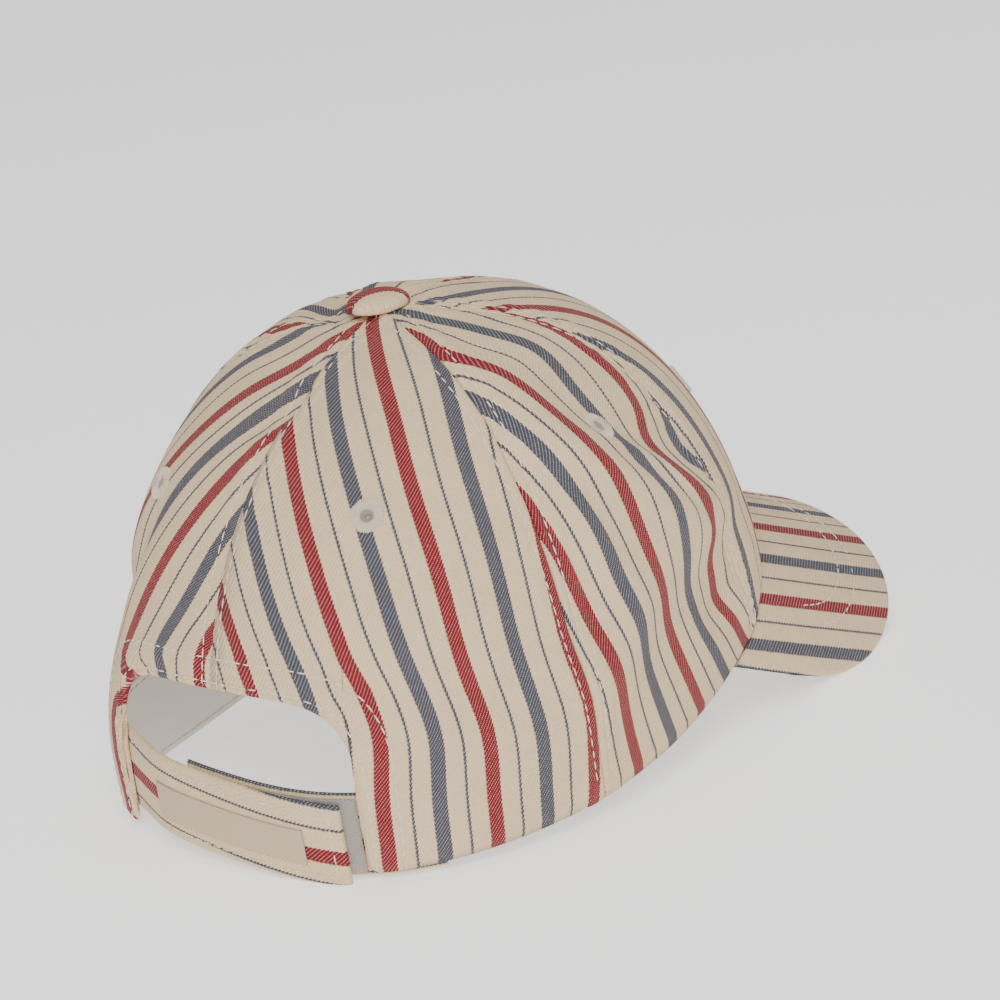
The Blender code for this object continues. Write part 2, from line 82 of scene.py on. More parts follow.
SEAM_ALLOWANCE = 5.5
SEAM_ROW_RISES = (0.005, 0.955)
STITCH_LIFT = 0.22

# Dents and folds: side (-1 left, 1 right, 0 both), angle from the back, height on the panel,
# half spread in degrees, half spread in height, tilt in heights for each degree, depth as a
# share of HALF_WIDTH (out is positive)
FOLDS = (
    (-1, 38.0, 0.02, 15.0, 0.11, 0.0, 0.085),
    (-1, 52.0, 0.20, 13.0, 0.035, 0.0, -0.030),
    (1, 34.0, 0.21, 8.0, 0.030, 0.004, 0.014),
    (1, 44.0, 0.14, 10.0, 0.035, -0.004, -0.014),
    (1, 115.0, 0.117, 20.0, 0.045, 0.0022, -0.0423),
    (1, 73.0, 0.374, 11.4, 0.049, -0.0088, -0.0174),
    (1, 105.0, 0.225, 20.3, 0.102, -0.0008, 0.0534),
    (1, 116.0, 0.068, 9.6, 0.027, 0.0015, -0.0366),
    (1, 90.0, 0.350, 11.4, 0.074, -0.0065, 0.0505),
    (1, 76.0, 0.479, 13.2, 0.221, -0.0134, 0.0748),
    (1, 75.0, 0.318, 8.6, 0.078, -0.0176, 0.0317),
    (1, 77.0, 0.090, 13.8, 0.056, 0.0025, 0.0583),
    (1, 86.0, 0.075, 19.2, 0.046, -0.0035, -0.0151),
    (-1, 5.0, 0.632, 8.9, 0.048, -0.0058, -0.0344),
    (-1, 34.0, 0.274, 8.3, 0.074, -0.0124, -0.0443),
    (-1, 98.0, 0.34, 8.0, 0.09, 0.004, -0.022),
    (1, 180.0, 0.55, 22.0, 0.10, 0.0, -0.012),
    (-1, 86.0, 0.82, 20.0, 0.05, 0.0, 0.010),
    (-1, 72.0, 0.925, 38.0, 0.04, 0.0, -0.032),
    (-1, 132.0, 0.955, 42.0, 0.035, 0.0, 0.036),
    (1, 104.0, 0.318, 15.0, 0.022, -0.0068, 0.020),
    (1, 104.0, 0.280, 15.0, 0.022, -0.0068, -0.012),
    (1, 33.0, 0.125, 7.0, 0.016, -0.0046, 0.015),
    (1, 33.0, 0.156, 7.0, 0.016, -0.0046, -0.012),
)

# Cloth beside a sewn edge: how far the turned allowance lifts it, where that starts and how wide it
# fades, how deep and wide the stitches draw it in, how high and wide it puckers, and the pucker's
# waves as height, turns for each millimetre and start
SEWN_LIFT = 0.40
SEWN_LIFT_START = (0.2, 1.2)
SEWN_LIFT_FADE = 1.6
SEWN_DRAW = (0.26, 0.6)
SEWN_PUCKER = (0.15, 2.2)
PUCKER_WAVES = ((1.0, 1.35, 0.0), (0.7, 0.83, 1.7))
# The inner sheet follows the outer one's relief up to this height, by this share
INNER_RELIEF = (0.3, 0.5)

# A stitch: how high its middle stands, how deep its ends lie, its slant, its height as a share of
# its width, and how blunt its tips are
STITCH_RISE = 0.10
STITCH_SINK = 0.02
STITCH_SLANT = 0.10
STITCH_FLATNESS = 0.8
STITCH_TIP = 0.02

# The rear arch
ARCH_HALF_WIDTH = 43.0
ARCH_TOP = 37.5
ARCH_POWER = 4.6
FOOT_TOE_IN = 1.8
FOOT_CORNER_RADIUS = 3.0
ARCH_HEM = 9.0
ARCH_ALLOWANCE = 8.5
ARCH_STITCH_MARGINS = (2.0, 8.0)
ARCH_HEM_DRAW = (0.2, 0.6)

# The peak
PEAK_HALF_WIDTH = 70.2
PEAK_REACH = 47.1
PEAK_BEND = 72.6
PEAK_SLOPE_DEGREES = 26.3
PEAK_SHOULDER = 35.3
PEAK_PLAN_POWER = 2.74
PEAK_THICKNESS = 3.0
PEAK_RED = -71.88
PEAK_STITCH_MARGINS = (14.6, 20.8)
PEAK_ROW_TURN = 45.0
PEAK_DRAW = (0.16, 0.7)
PEAK_STITCH_SINK = 0.05

# The sweatband
BAND_HEIGHT = 28.0
BAND_THICKNESS = 1.2
BAND_HEM_CLEARANCE = 0.6
BAND_START_SHARE = 1.53
BAND_STITCH_MARGIN = 2.4
BAND_STITCH_END = 0.03
BAND_STITCH_LIFT = 0.02
BAND_QUILT = (0.12, 2.2, 0.5)

# The button
BUTTON_RADIUS = 8.7
BUTTON_RIM = 2.6
BUTTON_CROWN = 1.6
BUTTON_FLANGE_RADIUS = 5.5
BUTTON_POST_RADIUS = 2.6
BUTTON_FLANGE = 1.0
APEX_FALL = 1.2
BUTTON_STRIPE_DEGREES = -36.0
BUTTON_RING_SETBACK = 0.9
BUTTON_RING_SHARE = 1.125
BUTTON_RING_FLATNESS = 0.64
BUTTON_STRIPE_STRETCH = 0.54
BUTTON_SIDES = 72
BUTTON_PLEATS = 17
BUTTON_PLEAT_DEPTH = (0.012, 0.8)
BUTTON_DOME_POWERS = (2.6, 0.55)

# The eyelets
EYELET_RISE_SHARE = 0.432
EYELET_RADIUS = 4.5
EYELET_BORE = 0.6
EYELET_WELL = 1.9
EYELET_STITCHES = 44
EYELET_CUT = 2.7
EYELET_PROUD = 0.6
EYELET_WELL_FALL = 1.0
EYELET_SEAT = 2.0
EYELET_RIDGE_LIFT = 0.22
EYELET_RIDGE_REACH = 0.25
EYELET_UNEVEN = 0.10
# Painted shade of the well round the bore: how much it adds to the depth that darkens the thread
EYELET_WELL_PAINTED_SHADE = 0.9

# The closure
STRAP_WIDTH = 23.4
STRAP_THICKNESS = 1.6
TAPE_WIDTH = 21.0
TAPE_THICKNESS = 0.8
LABEL_WIDTH = 9.6
LABEL_THICKNESS = 0.5
TAB_COURSE = (
    (-1.45, 0.24, 0.0),
    (-1.22, 0.24, 0.0),
    (-1.02, 0.23, 0.0),
    (-0.51, 0.19, 1.0),
    (-0.12, 0.12, 1.0),
    (0.39, 0.03, 1.0),
    (0.89, -0.08, 1.0),
)
UNDER_COURSE = (
    (-0.35, 0.16, 0.0),
    (0.16, 0.09, 0.0),
    (0.98, 0.01, 0.0),
    (1.49, -0.01, 0.0),
)
TAPE_SPAN = (-0.28, 0.985)
LABEL_SPAN = (-0.59, 0.63)
LABEL_DROP_SHARE = 0.05
STRAP_STITCH_MARGIN = 2.8
STRAP_CROWDING = 0.75
STRAP_PUFF_START = (0.3, 1.6)
STRAP_DRAW_SPREAD = 0.6
TAB_STITCH_START = -1.0
TAB_STITCH_STOP = TAB_COURSE[-1][0] - 0.08
TAB_STITCH_LIFT = 0.12
# Place of the red stripe above the strap's middle line at its start and at its end
TAB_RED = (1.6, -3.3)
UNDER_RED = (-2.6, -2.6)

# The twill: its ribs' lean from the warp, the warp's pitch, and how soft and uneven a stripe's edge is
TWILL_DEGREES = 43.0
WARP_PITCH = 0.36
STRIPE_EDGE = 0.06
STRIPE_UNEVEN = 0.35
STRIPE_STEP = 0.14
# The pale flecks of the weft: the yarn's and the speckle's weight beside the rib's, the range over
# which a fleck shows, and how light it gets
FLECK_YARN = 0.5
FLECK_SPECKLE = 0.9
FLECK_RANGE = (1.35, 1.85)
FLECK_LIGHT = 0.8
# The washed cloth's lightness: the range of its clouds, its grain and its ribs
CLOUD_SHADE = (0.955, 1.03)
GRAIN_SHADE = 0.10
RIB_SHADE = 0.05

# Where the cap rests: its tip back, and the move that follows
REST_PITCH_DEGREES = 3.14851
REST_SHIFT = (0.0, 23.0187, 17.2630)

# The camera, at the photograph's angle
CAMERA_PLACE = (-685.033, 722.705, 383.555)
CAMERA_RIGHT = (-0.747693, -0.652065, -0.125568)
CAMERA_UP = (0.112886, -0.311156, 0.943631)
CAMERA_LENS = 135.181
CAMERA_SENSOR = 36.0

# The stage, in metres: the floor and its own light, the world's light, and each lamp's place, size
# and power in watts
FLOOR_HALF = 3.0
FLOOR_DROP = 0.0002
FLOOR_GLOW = 0.72
WORLD_STRENGTH = 0.32
LIGHT_AIM = (0.0, 0.0, 0.05)
LIGHTS = {
    "key_light": ((-1.0, 1.15, 1.35), 1.0, 32.0),
    "fill_light": ((0.9, 1.4, 0.9), 1.4, 0.6),
    "top_light": ((0.0, -0.3, 1.9), 1.4, 9.5),
}

# Grids: points across and up each piece. The shares are a rear panel's columns over the arch and
# over the round corner of its foot
PANEL_GRID = (104, 124)
ARCH_SHARES = (0.52, 0.06)
# How much closer a panel's points are at its edges, and how a rear panel's columns are shared at its
# top between the places of their feet and an even spread
PANEL_CROWDING = 0.8
ARCH_HEM_POWER = 1.3
ARCH_TOP_SHARE = 0.45
ARCH_TOP_CROWDING = 0.5
PEAK_GRID = (150, 56)
BAND_GRID = (220, 28)
STRAP_GRID = (130, 36)
STITCH_GRID = (6, 7)

# Steps of angle and rise that normals are measured over: the crown's, a row's and an eyelet's
CROWN_STEP = 1e-3
ROW_STEP = 2e-3
EYELET_STEP = 0.03


def linear(code):
    """Linear colour of an sRGB hex value."""
    value = np.array([int(code[place : place + 2], 16) for place in (0, 2, 4)]) / 255.0
    bright = ((value + 0.055) / 1.055) ** 2.4
    return tuple(float(part) for part in np.where(value <= 0.04045, value / 12.92, bright))


# The sizes that a user would change, in metres: name, label, description and default
CLOTH_SIZES = (
    ("stripe_unit", "Stripe unit", "Distance from a broad stripe to the pin stripe beside it", 0.00785),
    ("stripe_width", "Stripe width", "Width of the red and of the blue stripe", 0.0040),
    ("pin_width", "Pin stripe width", "Width of the thin blue stripe", 0.00075),
    ("twill_pitch", "Twill pitch", "Distance between two ribs of the twill", 0.0008),
    ("stitch_length", "Stitch length", "Length of one stitch of the seams", 0.0027),
    ("stitch_gap", "Stitch gap", "Gap between two stitches, where the thread is inside the cloth", 0.0007),
    ("thread_width", "Thread width", "Width of the sewing thread", 0.00042),
    ("seam_margin", "Seam margin", "Distance from a seam to the row of stitches on each side of it", 0.0025),
)
# The colours: name, label, description and sRGB hex value
CLOTH_COLOURS = (
    ("ground", "Ground", "Undyed cotton between the stripes", "E7CBA4"),
    ("red", "Red stripe", "Dyed yarn of the red stripe", "85152A"),
    ("blue", "Blue stripe", "Dyed yarn of the blue stripes", "464B5A"),
    ("thread", "Thread", "Thread of the seams and of the peak", "F0E6D6"),
    ("eyelet", "Eyelet thread", "Undyed thread of the eyelets' embroidery", "E9DAC4"),
    ("lining", "Inside", "Pale cloth inside the cap", "E4DFD7"),
    ("tape", "Loop tape", "Grey tape that the tab closes on", "B0A59B"),
    ("label", "Label", "Bare woven tape on the tab", "CFB79B"),
    ("floor", "Floor", "Pale matt surface that the cap rests on", "F6F6F5"),
)


class CapSizes(bpy.types.PropertyGroup):
    """Sizes of the cloth's pattern and of its sewing."""

    __annotations__ = {
        name: bpy.props.FloatProperty(name=label, description=text, default=size, unit="LENGTH")
        for name, label, text, size in CLOTH_SIZES
    }


class CapColours(bpy.types.PropertyGroup):
    """Colours of the cloth, the thread and the fittings."""

    __annotations__ = {
        name: bpy.props.FloatVectorProperty(
            name=label, description=text, subtype="COLOR", default=linear(code)
        )
        for name, label, text, code in CLOTH_COLOURS
    }


# The cap's surfaces


def mix(angle, back, side, front):
    """Value that runs from side to back or front with the square of the cosine of the angle."""
    cosine = np.cos(angle)
    end = np.where(cosine > 0.0, back, front)
    return side + (end - side) * cosine**2


def hem_reach(angle):
    """Plan distance of the hem from the head's axis, a superellipse with its own power each way."""
    sine = np.abs(np.sin(angle)) / HALF_WIDTH
    cosine = np.cos(angle)
    reach = np.where(cosine > 0.0, BACK_REACH, FRONT_REACH)
    power = np.where(cosine > 0.0, BACK_PLAN_POWER, FRONT_PLAN_POWER)
    return (sine**power + np.abs(cosine / reach) ** power) ** (-1.0 / power)


def hem_height(angle):
    """Height of the hem, a short sum of cosines round the head."""
    return sum(share * CROWN_RISE * np.cos(waves * angle) for share, waves in HEM_WAVES)


def meridian_powers(angle):
    """Powers of the reach and of the rise up the meridian at an angle."""
    ends = zip(MERIDIAN_BACK_POWERS, MERIDIAN_SIDE_POWERS, MERIDIAN_FRONT_POWERS)
    return [mix(angle, *powers) for powers in ends]


def smooth_crown(angle, rise):
    """Crown without its folds: a superellipse in plan times a superellipse up each meridian."""
    out_power, up_power = meridian_powers(angle)
    turn = np.clip(rise, 1e-6, 1.0 - 1e-6) * math.pi / 2.0
    out_share = np.cos(turn) ** out_power
    up_share = np.sin(turn) ** up_power
    reach = hem_reach(angle) * out_share
    x = -np.sin(angle) * reach
    y = np.cos(angle) * reach + APEX_SETBACK * (1.0 - out_share)
    hem = hem_height(angle)
    z = hem + (CROWN_RISE - hem) * up_share
    return np.stack([x, y, z], axis=-1)


def surface_normal(surface, angle, rise, step):
    """Outward unit normal of a surface of angle and rise, by central differences."""
    rise = np.clip(rise, 2.0 * step, 1.0 - 2.0 * step)
    round_head = surface(angle + step, rise) - surface(angle - step, rise)
    up_head = surface(angle, rise + step) - surface(angle, rise - step)
    normal = np.cross(round_head, up_head)
    return normal / np.linalg.norm(normal, axis=-1, keepdims=True)


def fold_depth(angle, rise):
    """Sum of the rows of FOLDS, each a smooth bump or dent that falls off as a bell each way.

    The seams' bulk lifts the cloth under the button by one more bell up the crown.
    """
    degrees = np.degrees(angle)
    depth = np.zeros(np.broadcast(angle, rise).shape)
    for side, place, height, spread, tall, tilt, share in FOLDS:
        for sign in (-1, 1) if side == 0 else (side,):
            away = (degrees * sign - place + 180.0) % 360.0 - 180.0
            across = away / spread
            along = (rise - height - tilt * away) / tall
            depth = depth + np.exp(-(across**2) - along**2) * HALF_WIDTH * share
    return depth + APEX_LIFT * bell(rise, 1.0, APEX_LIFT_SPREAD)


def crown_skin(angle, rise, out):
    """Point of the folded crown moved out along the smooth crown's normal."""
    angle, rise = np.broadcast_arrays(angle, rise)
    normal = surface_normal(smooth_crown, angle, rise, CROWN_STEP)
    return smooth_crown(angle, rise) + normal * (fold_depth(angle, rise) + out)[..., None]


def folded_crown(angle, rise):
    """Outer face of the folded crown."""
    return crown_skin(angle, rise, 0.0)


def rise_at_height(angle, height):
    """Place up the meridian where the smooth crown has a given height."""
    hem = hem_height(angle)
    up_share = np.clip((height - hem) / (CROWN_RISE - hem), 0.0, 1.0)
    return np.arcsin(up_share ** (1.0 / meridian_powers(angle)[1])) * 2.0 / math.pi


def wall_point(angle, height, out):
    """Point at a height on the crown's wall, which runs on straight down below the hem."""
    point = crown_skin(angle, rise_at_height(angle, height), out)
    point[..., 2] += np.minimum(height - hem_height(angle), 0.0)
    return point


def top_rise(angle):
    """Place up the meridian where the apex hole starts."""
    share = APEX_HOLE_RADIUS / hem_reach(angle)
    return np.arccos(share ** (1.0 / meridian_powers(angle)[0])) * 2.0 / math.pi


def angle_on_wall(x, height):
    """Angle from the back of a point of the crown with a given x and height."""
    angle = np.arcsin(np.clip(-x / BACK_REACH, -1.0, 1.0))
    for _ in range(6):
        turn = rise_at_height(angle, height) * math.pi / 2.0
        reach = hem_reach(angle) * np.cos(turn) ** meridian_powers(angle)[0]
        angle = np.arcsin(np.clip(-x / reach, -1.0, 1.0))
    return angle


def foot_floor():
    """Height where the straight side of the arch ends in the foot's round corner."""
    return hem_height(math.radians(REAR_SEAM_DEGREES[0] / 2.0)) + FOOT_CORNER_RADIUS


def foot_angle():
    """Angle from the back of the foot's inner edge."""
    return float(angle_on_wall(FOOT_TOE_IN - ARCH_HALF_WIDTH, foot_floor()))


def arch_curve(turn, margin):
    """Angles and rises of a line a margin outside the right half of the arch, a superellipse."""
    floor = foot_floor()
    down = 1.0 - np.cos(turn) ** (2.0 / ARCH_POWER)
    sweep = np.sin(turn) ** (2.0 / ARCH_POWER)
    x = -(ARCH_HALF_WIDTH + margin - FOOT_TOE_IN * down) * sweep
    height = floor + (ARCH_TOP + margin - floor) * (1.0 - down)
    angle = angle_on_wall(x, height)
    return angle, rise_at_height(angle, height)


def arch_edge(columns, corner_columns):
    """Angles and rises of the right half of the arch's edge, from its top round the foot's corner."""
    angle, rise = arch_curve(np.linspace(0.0, math.pi / 2.0, columns + 1), 0.0)
    corner = np.linspace(0.0, 1.0, corner_columns + 1)[1:] * math.pi / 2.0
    corner_angle = angle[-1] + FOOT_CORNER_RADIUS * (1.0 - np.cos(corner)) / hem_reach(angle[-1])
    lift = FOOT_CORNER_RADIUS * (1.0 - np.sin(corner))
    corner_rise = rise_at_height(corner_angle, hem_height(corner_angle) + lift)
    return np.concatenate([angle, corner_angle]), np.concatenate([rise, corner_rise])


def seam_angle(seam, rise):
    """Angle of a seam at a place up the crown."""
    return np.radians(seam[0] + seam[1] * (1.0 - rise))


def panel_middle(near, far, rise):
    """Angle halfway between a panel's two seams at a place up the crown."""
    return (seam_angle(near, rise) + seam_angle(far, rise)) / 2.0


def crowded(count, ends):
    """Shares from 0 to 1, closer together at both ends, a mix of even steps and a cosine."""
    even = np.linspace(0.0, 1.0, count)
    return (1.0 - ends) * even + ends * (1.0 - np.cos(math.pi * even)) / 2.0


def plan_reach(angle, rise):
    """Plan distance of a point of the smooth crown from the apex."""
    point = smooth_crown(angle, rise)
    return np.maximum(np.hypot(point[..., 0], point[..., 1] - APEX_SETBACK), APEX_HOLE_RADIUS)


def panel_grid(near, far, arch):
    """Angles and rises over one right-hand panel between two seams, where two panels meet."""
    across, up = PANEL_GRID
    climb = crowded(up, PANEL_CROWDING)
    if arch:
        arch_columns, corner_columns = [round(across * share) for share in ARCH_SHARES]
        low_angle, low_rise = arch_edge(arch_columns, corner_columns)
        count = across - len(low_angle)
        share = np.linspace(0.0, 1.0, count + 1)[1:]
        share = 1.0 - (1.0 - share) ** ARCH_HEM_POWER
        hem_angles = low_angle[-1] + (seam_angle(far, 0.0) - low_angle[-1]) * share
        low_angle = np.concatenate([low_angle, hem_angles])
        low_rise = np.concatenate([low_rise, np.zeros(count)])
        top_share = ARCH_TOP_SHARE * low_angle / low_angle[-1]
        top_share = top_share + (1.0 - ARCH_TOP_SHARE) * crowded(across, ARCH_TOP_CROWDING)
    else:
        top_share = crowded(across, PANEL_CROWDING)
        low_angle = seam_angle(near, 0.0) + (seam_angle(far, 0.0) - seam_angle(near, 0.0)) * top_share
        low_rise = np.zeros(across)
    low_place = low_angle - seam_angle(near, low_rise)
    low_place = low_place / (seam_angle(far, low_rise) - seam_angle(near, low_rise))
    place = low_place[:, None] * (1.0 - climb) + top_share[:, None] * climb
    middle = seam_angle(near, 1.0) + (seam_angle(far, 1.0) - seam_angle(near, 1.0)) * top_share
    rise = low_rise[:, None] * (1.0 - climb) + top_rise(middle)[:, None] * climb
    start = seam_angle(near, rise)
    end = seam_angle(far, rise)
    return start + (end - start) * place, rise


def edge_distance(points, line):
    """Distance of each point from a line of points, the least over the line's short pieces."""
    flat = points.reshape(-1, 1, 3)
    start = line[None, :-1]
    step = line[None, 1:] - start
    share = ((flat - start) * step).sum(-1) / np.maximum((step**2).sum(-1), 1e-9)
    nearest = start + step * np.clip(share, 0.0, 1.0)[..., None]
    return np.sqrt(((flat - nearest) ** 2).sum(-1).min(axis=1)).reshape(points.shape[:-1])


def rolled(distance, radius):
    """Fall of a rounded edge: a quarter circle over the radius, nothing further in."""
    share = 1.0 - np.minimum(distance / radius, 1.0)
    return radius * (1.0 - np.sqrt(1.0 - share**2))


def eased(value, low, high):
    """Smooth step from 0 at low to 1 at high."""
    share = np.clip((value - low) / (high - low), 0.0, 1.0)
    return share**2 * (3.0 - 2.0 * share)


def bell(value, middle, spread):
    """Bell curve of height 1 round a middle."""
    return np.exp(-(((value - middle) / spread) ** 2))


def sewn_relief(distance, margin, along, allowance):
    """Lift of cloth beside a sewn edge.

    The turned allowance under it lifts it a little, the row of stitches draws it in, and the
    stretch between two stitches puckers as a sum of two waves.
    """
    fade = eased(distance, allowance, allowance + SEWN_LIFT_FADE)
    lift = SEWN_LIFT * eased(distance, *SEWN_LIFT_START) * (1.0 - fade)
    depth, spread = SEWN_DRAW
    draw = -depth * bell(distance, margin, spread)
    pucker = sum(share * np.sin(along * turns + start) for share, turns, start in PUCKER_WAVES)
    height, reach = SEWN_PUCKER
    return lift + draw + height * pucker * bell(distance, margin, reach)


def arc_lengths(points, axis):
    """Length run along an axis of a grid of points, from 0 at its start."""
    step = np.linalg.norm(np.diff(points, axis=axis), axis=-1)
    start = np.zeros_like(np.take(step, [0], axis=axis))
    return np.concatenate([start, np.cumsum(step, axis=axis)], axis=axis)


# Meshes


def shell_faces(keep):
    """Faces of a closed double sheet over a grid's kept cells, outer, inner and rims, and the outer count.

    The inner sheet has the outer one's cells, and each side of a kept cell that no kept cell
    shares gets a face between the sheets, so a hole is closed like the outer rim.
    """
    columns, rows = keep.shape
    index = np.arange((columns + 1) * (rows + 1)).reshape(columns + 1, rows + 1)
    corners = (index[:-1, :-1], index[:-1, 1:], index[1:, 1:], index[1:, :-1])
    outer_faces = np.stack(corners, axis=-1)[keep]
    room = np.pad(keep, 1)
    after, before = room[1:, 1:-1], room[:-1, 1:-1]
    above, below = room[1:-1, 1:], room[1:-1, :-1]
    rims = (
        (after & ~before, index[:, 1:], index[:, :-1]),
        (before & ~after, index[:, :-1], index[:, 1:]),
        (above & ~below, index[:-1], index[1:]),
        (below & ~above, index[1:], index[:-1]),
    )
    faces = [outer_faces, outer_faces[:, ::-1] + index.size]
    for where, first, second in rims:
        first, second = first[where], second[where]
        faces.append(np.stack([first, second, second + index.size, first + index.size], axis=-1))
    return np.concatenate(faces), len(outer_faces)


def tipped(points):
    """Points of the crown frame where the cap rests, in metres, flattened where it stands."""
    turn = np.array(Matrix.Rotation(-math.radians(REST_PITCH_DEGREES), 3, "X"))
    placed = points @ turn.T + np.array(REST_SHIFT)
    placed[..., 2] = np.maximum(placed[..., 2], 0.0)
    return placed * MM


def mesh_piece(name, points, faces, cloth, materials, slots=None, weld=True):
    """Piece from crown-frame points, with its cloth places and outward faces.

    The slots are the faces' places among its materials. It rides on the cap's body.
    """
    mesh = bpy.data.meshes.new(name)
    mesh.from_pydata(tipped(points), [], faces.tolist())
    for material in materials:
        mesh.materials.append(material)
    if slots is not None:
        mesh.polygons.foreach_set("material_index", slots.astype(np.int32))
    places = mesh.attributes.new("cloth", "FLOAT_VECTOR", "POINT")
    places.data.foreach_set("vector", (cloth.reshape(-1, 3) * MM).astype(np.float32).ravel())
    shape = bmesh.new()
    shape.from_mesh(mesh)
    if weld:
        bmesh.ops.remove_doubles(shape, verts=shape.verts, dist=1e-7)
    bmesh.ops.recalc_face_normals(shape, faces=shape.faces)
    shape.to_mesh(mesh)
    shape.free()
    mesh.polygons.foreach_set("use_smooth", np.ones(len(mesh.polygons), dtype=bool))
    made = bpy.data.objects.new(name, mesh)
    bpy.context.scene.collection.objects.link(made)
    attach(made, "root")
    return made


def shell_piece(name, outer, inner, cloth, materials, keep=None, lined=None):
    """Closed sheet between an outer and an inner grid of points, its lined cells in material two."""
    if keep is None:
        keep = np.ones((outer.shape[0] - 1, outer.shape[1] - 1), dtype=bool)
    faces, outer_count = shell_faces(keep)
    points = np.concatenate([outer.reshape(-1, 3), inner.reshape(-1, 3)])
    places = np.concatenate([cloth.reshape(-1, 3)] * 2)
    used = np.unique(faces)
    renumber = np.zeros(len(points), dtype=int)
    renumber[used] = np.arange(len(used))
    slots = None
    if lined is not None:
        slots = np.zeros(len(faces))
        slots[outer_count : 2 * outer_count] = lined[keep]
    return mesh_piece(name, points[used], renumber[faces], places[used], materials, slots)


def turn_to(axis):
    """Matrix that turns +Z onto an axis."""
    return np.array(Vector((0.0, 0.0, 1.0)).rotation_difference(Vector(axis)).to_matrix())


def ring_faces(columns, rows, closed_rows):
    """Faces of a grid closed round its columns, and along its rows where asked."""
    index = np.arange(columns * rows).reshape(columns, rows)
    ahead = np.roll(index, -1, axis=0)
    faces = np.stack([index, ahead, np.roll(ahead, -1, axis=1), np.roll(index, -1, axis=1)], axis=-1)
    if not closed_rows:
        faces = faces[:, :-1]
    return faces.reshape(-1, 4)


def stitch_rows(name, rows, material):
    """Rows of stitches as one piece.

    Each row is a line of points with outward normals. It is cut into equal stitches. A stitch is
    a tube along its own chord: its radius follows a root of a sine and its middle stands proud.
    """
    sizes = bpy.context.scene.cap_sizes
    pitch = (sizes.stitch_length + sizes.stitch_gap) / MM
    fill = sizes.stitch_length / (sizes.stitch_length + sizes.stitch_gap)
    radius = sizes.thread_width / MM / 2.0
    sides, stations = STITCH_GRID
    share = np.linspace(0.0, 1.0, stations)
    swell = radius * np.sqrt(np.sin(math.pi * np.clip(share, STITCH_TIP, 1.0 - STITCH_TIP)))
    proud = STITCH_RISE * np.sin(math.pi * share) - STITCH_SINK
    turn = np.linspace(0.0, 2.0 * math.pi, sides, endpoint=False)
    tube = ring_faces(sides, stations, False)
    tube = (tube % stations) * sides + tube // stations
    near_end = np.array([[0, 1, 2, 3], [0, 3, 4, 5]])
    far_end = near_end[:, ::-1] + sides * (stations - 1)
    one = np.concatenate([tube, near_end, far_end])
    shapes, faces, start = [], [], 0
    for line, normal in rows:
        run = arc_lengths(line, 0)
        count = max(int(run[-1] / pitch), 1)
        begin = (np.arange(count) + (1.0 - fill) / 2.0) * run[-1] / count
        finish = begin + fill * run[-1] / count
        at = begin[:, None] + (finish - begin)[:, None] * share
        centre = np.stack([np.interp(at, run, line[:, axis]) for axis in range(3)], axis=-1)
        up = np.stack([np.interp(at, run, normal[:, axis]) for axis in range(3)], axis=-1)
        up = up / np.linalg.norm(up, axis=-1, keepdims=True)
        ahead = centre[:, -1:] - centre[:, :1]
        ahead = ahead / np.linalg.norm(ahead, axis=-1, keepdims=True)
        side = np.cross(up, ahead)
        side = side / np.linalg.norm(side, axis=-1, keepdims=True)
        slant = STITCH_SLANT * (share - 0.5)
        centre = centre + up * proud[:, None] + side * slant[:, None]
        ring = (
            centre[:, :, None]
            + side[:, :, None] * (np.cos(turn) * swell[:, None])[..., None]
            + up[:, :, None] * (np.sin(turn) * swell[:, None] * STITCH_FLATNESS)[..., None]
        )
        shapes.append(ring.reshape(-1, 3))
        starts = start + np.arange(count)[:, None, None] * sides * stations
        faces.append((one[None] + starts).reshape(-1, 4))
        start += count * sides * stations
    points = np.concatenate(shapes)
    mesh_piece(name, points, np.concatenate(faces), points * 0.0, [material], weld=False)


# Materials


def add_node(tree, kind, inputs=None, **settings):
    """Adds a node with its own settings. Inputs are values, or nodes or sockets to link."""
    made = tree.nodes.new(kind)
    for name, value in settings.items():
        setattr(made, name, value)
    for key, value in (inputs or {}).items():
        source = value.outputs[0] if isinstance(value, bpy.types.Node) else value
        if isinstance(source, bpy.types.NodeSocket):
            tree.links.new(source, made.inputs[key])
        else:
            made.inputs[key].default_value = source
    return made


def new_material(name):
    """New node material with its tree, its shader and the cloth places in millimetres."""
    made = bpy.data.materials.new(name)
    made.use_nodes = True
    tree = made.node_tree
    shader = tree.nodes["Principled BSDF"]
    place = add_node(tree, "ShaderNodeAttribute", attribute_name="cloth")
    scaled = add_node(
        tree, "ShaderNodeVectorMath", {0: place.outputs["Vector"], "Scale": 1.0 / MM}, operation="SCALE"
    )
    return made, tree, shader, scaled


